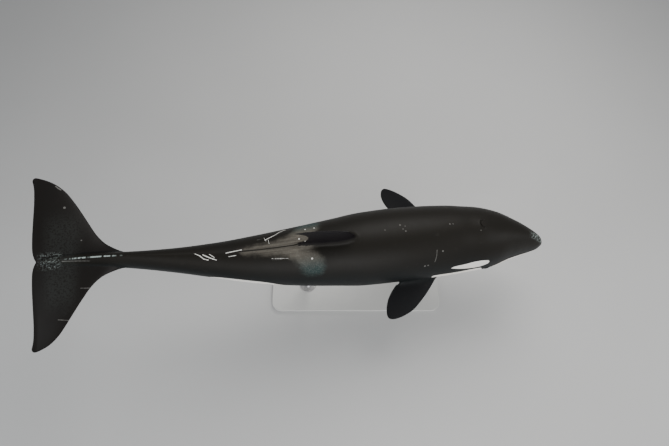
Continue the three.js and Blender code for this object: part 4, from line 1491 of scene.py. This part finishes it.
@dataclass
class BoltRing:
    """A ring of bolts that holds a rod's foot to the base, made by Geometry Nodes."""

    name: str
    centre: Triple
    count: int = 6
    ring_radius: float = 0.092
    head_radius: float = 0.0115
    head_height: float = 0.009
    washer_share: float = 1.55
    washer_thick: float = 0.003

    def tree(self, material: bpy.types.Material) -> bpy.types.NodeTree:
        """Draws the node tree: washers and six-sided heads on a ring.

        Args:
            material: The bolts' finish.

        Returns:
            The tree, with an input for each size.
        """
        tree = bpy.data.node_groups.new(f"{self.name}_tree", "GeometryNodeTree")
        tree.interface.new_socket("Geometry", in_out="OUTPUT", socket_type="NodeSocketGeometry")
        for name, kind in (
            ("Count", "Int"),
            ("Ring Radius", "Float"),
            ("Head Radius", "Float"),
            ("Head Height", "Float"),
            ("Centre", "Vector"),
        ):
            tree.interface.new_socket(name, in_out="INPUT", socket_type=f"NodeSocket{kind}")
        kinds = {
            "start": "NodeGroupInput",
            "ring": "GeometryNodeMeshCircle",
            "head": "GeometryNodeMeshCylinder",
            "washer": "GeometryNodeMeshCylinder",
            "wide": "ShaderNodeMath",
            "half": "ShaderNodeMath",
            "lift": "ShaderNodeCombineXYZ",
            "raised": "GeometryNodeTransform",
            "bolt": "GeometryNodeJoinGeometry",
            "copies": "GeometryNodeInstanceOnPoints",
            "real": "GeometryNodeRealizeInstances",
            "moved": "GeometryNodeTransform",
            "dressed": "GeometryNodeSetMaterial",
            "end": "NodeGroupOutput",
        }
        nodes = {name: tree.nodes.new(kind) for name, kind in kinds.items()}
        for name in ("wide", "half"):
            nodes[name].operation = "MULTIPLY"
        for name, place, value in (
            ("head", "Vertices", 6),
            ("washer", "Vertices", 28),
            ("washer", "Depth", self.washer_thick),
            ("wide", 1, self.washer_share),
            ("half", 1, 0.5),
            ("dressed", "Material", material),
        ):
            nodes[name].inputs[place].default_value = value
        for source, output, target, place in (
            ("start", "Count", "ring", "Vertices"),
            ("start", "Ring Radius", "ring", "Radius"),
            ("start", "Head Radius", "head", "Radius"),
            ("start", "Head Height", "head", "Depth"),
            ("start", "Head Radius", "wide", 0),
            ("wide", 0, "washer", "Radius"),
            ("start", "Head Height", "half", 0),
            ("half", 0, "lift", 2),
            ("head", "Mesh", "raised", "Geometry"),
            ("lift", 0, "raised", "Translation"),
            ("raised", 0, "bolt", 0),
            ("washer", "Mesh", "bolt", 0),
            ("ring", 0, "copies", "Points"),
            ("bolt", 0, "copies", "Instance"),
            ("copies", 0, "real", 0),
            ("real", 0, "moved", "Geometry"),
            ("start", "Centre", "moved", "Translation"),
            ("moved", 0, "dressed", "Geometry"),
            ("dressed", 0, "end", 0),
        ):
            tree.links.new(nodes[source].outputs[output], nodes[target].inputs[place])
        return tree

    def build(self, material: bpy.types.Material) -> bpy.types.Object:
        """Builds the bolts as a plain mesh on the stand.

        Args:
            material: The bolts' finish.

        Returns:
            The finished bolts.
        """
        maker = linked(f"{self.name}_maker", bpy.data.meshes.new(self.name))
        nodes = maker.modifiers.new("bolts", "NODES")
        nodes.node_group = self.tree(material)
        sizes = [self.count, self.ring_radius, self.head_radius, self.head_height, self.centre]
        inputs = [item for item in nodes.node_group.interface.items_tree if item.in_out == "INPUT"]
        for item, size in zip(inputs, sizes):
            nodes[item.identifier] = size
        made = result_of(maker, self.name)
        bpy.data.objects.remove(maker)
        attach(made, BODY)
        return made


@dataclass
class SaddlePlate:
    """A formed steel ring at the top of a rod, which hugs the belly and carries it."""

    name: str
    centre: tuple[float, float]
    belly: BVHTree
    inner: float = 0.0456
    outer: float = 0.105
    chamfer: float = 0.002
    thick: float = 0.006
    clearance: float = 0.002
    sides: int = 64

    def build(self, material: bpy.types.Material) -> bpy.types.Object:
        """Builds the plate against the belly.

        Args:
            material: The plate's finish.

        Returns:
            The finished plate.
        """
        eased = self.outer - self.chamfer
        across = [(self.inner, 1.0), (self.inner, 0.0), (eased, 0.0)]
        across += [(self.outer, 0.35), (self.outer, 0.65), (eased, 1.0)]
        points = []
        for turn in np.arange(self.sides) * 2 * math.pi / self.sides:
            for radius, depth in across:
                x, y = self.centre[0] + radius * math.cos(turn), self.centre[1] + radius * math.sin(turn)
                hit, normal, _, _ = self.belly.ray_cast(Vector((x, y, 0.1)), Vector((0, 0, 1)))
                sink = (self.clearance + depth * self.thick) / max(abs(normal.z), 0.5)
                points.append((x, y, hit.z - sink))
        made = object_of(self.name, np.array(points), ring_faces(self.sides, len(across), looped=True))
        made.data.materials.append(material)
        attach(made, BODY)
        return made


@dataclass
class Stand:
    """The plain display stand: its base and rods keep their solids, and bolts hold the feet."""

    nodes: dict[str, bpy.types.Object]
    foot_top: float = 0.0786

    def dress(self, belly: BVHTree) -> list[bpy.types.Object]:
        """Gives the stand's solids their finishes and adds the bolts and the saddle plates.

        Args:
            belly: The skin's surface, which the plates lie against.

        Returns:
            The pieces that were added.
        """
        paint, steel = PaintFinish().make(), SteelFinish().make()
        finishes = {"stand_base": paint, "stand_rod_front": steel, "stand_rod_rear": steel}
        for name, material in finishes.items():
            mesh = self.nodes[name].data
            mesh.materials.clear()
            mesh.materials.append(material)
        bolt_steel = SteelFinish(name="bolt_steel", colour=(0.4, 0.4, 0.41), grain=(30, 30, 30)).make()
        plate_steel = SteelFinish(name="plate_steel", colour=(0.52, 0.52, 0.53), grain=(90, 8, 90)).make()
        added = []
        for end in ("front", "rear"):
            low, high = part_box(f"stand_rod_{end}")
            centre = ((low.x + high.x) / 2, (low.y + high.y) / 2, self.foot_top)
            added.append(BoltRing(f"bolts_{end}", centre).build(bolt_steel))
            added.append(SaddlePlate(f"saddle_plate_{end}", centre[:2], belly).build(plate_steel))
        return added


@dataclass(frozen=True)
class Lamp:
    """A soft square light that points at a place."""

    name: str
    at: Triple
    size: float
    power: float
    aim: Triple
    colour: Triple = (1, 1, 1)

    def build(self) -> None:
        """Hangs the light."""
        light = bpy.data.lights.new(self.name, "AREA")
        light.shape, light.size, light.energy, light.color = "SQUARE", self.size, self.power, self.colour
        made = linked(self.name, light)
        made.location = self.at
        made.rotation_euler = (Vector(self.at) - Vector(self.aim)).to_track_quat("Z", "Y").to_euler()


@dataclass(frozen=True)
class Studio:
    """The plain floor, the soft lights and the camera, which looks down past the right side."""

    target: Triple = (-0.304, 0.345, 1.3)
    elevation: float = math.radians(68)
    distance: float = 5.6
    focal_pixels: float = 451.4
    sensor: float = 36
    floor_reach: float = 40.0
    floor_height: float = -0.001
    sky_colour: Triple = (0.9, 0.93, 0.97)
    sky_strength: float = 0.35
    lamps: tuple[Lamp, ...] = (
        Lamp("key", (1.5, 4.0, 7.0), 5.0, 480, aim=(0, 0.1, 1.3), colour=(1, 0.98, 0.95)),
        Lamp("side", (1.0, -8.0, 4.2), 5.0, 520, aim=(0, 0, 1.2)),
        Lamp("front", (7.0, -2.0, 4.0), 3.0, 140, aim=(1.5, 0, 1.3)),
        Lamp("back", (-7.0, -2.5, 4.5), 3.0, 120, aim=(-1.5, 0, 1.6), colour=(0.95, 0.98, 1)),
    )

    def floor(self) -> None:
        """Lays the floor."""
        square = np.array([(-1, -1, 0), (1, -1, 0), (1, 1, 0), (-1, 1, 0)]) * self.floor_reach
        made = object_of("studio_floor", square + [0, 0, self.floor_height], [[0, 1, 2, 3]], closed=False)
        made.data.materials.append(FloorFinish().make())

    def sky(self) -> None:
        """Fills the room with soft light."""
        world = bpy.data.worlds.new("studio")
        world.use_nodes = True
        back = world.node_tree.nodes["Background"]
        back.inputs["Color"].default_value = (*self.sky_colour, 1)
        back.inputs["Strength"].default_value = self.sky_strength
        bpy.context.scene.world = world

    def camera(self) -> None:
        """Sets the camera."""
        data = bpy.data.cameras.new("camera")
        data.sensor_width = self.sensor
        data.lens = self.focal_pixels / FRAME_WIDTH * self.sensor
        made = linked("camera", data)
        back = Vector((0, -math.cos(self.elevation), math.sin(self.elevation)))
        made.location = Vector(self.target) + back * self.distance
        made.rotation_euler = back.to_track_quat("Z", "Y").to_euler()
        bpy.context.scene.camera = made

    def build(self) -> None:
        """Sets up the floor, the lights and the camera."""
        self.floor()
        self.sky()
        for lamp in self.lamps:
            lamp.build()
        self.camera()


def main() -> None:
    """Builds the orca, its stand and the studio, in order."""
    logging.basicConfig(level=logging.INFO, format="%(message)s")
    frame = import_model()
    Studio().build()
    LOG.info("studio: floor, lights and camera")

    flesh = Flesh()
    above = flesh.angle_at(EYE_AT, EYE_UP)
    sockets = [EyeSocket(SkinSpot(flesh, EYE_AT, above, side)) for side in Side]
    hole = Blowhole(SkinSpot(flesh, BLOWHOLE_AT, BLOWHOLE_ABOVE))
    skin = OrcaSkin(flesh, Fins(flesh.spine), Mouth(), sockets, hole).build()
    skin.data.calc_loop_triangles()
    LOG.info("skin: %d triangles", len(skin.data.loop_triangles))

    eye_finish = EyeFinish().make()
    for socket in sockets:
        LOG.info("eye: %s", Eye(socket).build(eye_finish).name)
    bpy.context.view_layer.update()
    belly = BVHTree.FromObject(skin, bpy.context.evaluated_depsgraph_get())
    for piece in Stand(frame["nodes"]).dress(belly):
        LOG.info("stand: %s", piece.name)


if __name__ == "__main__":
    main()
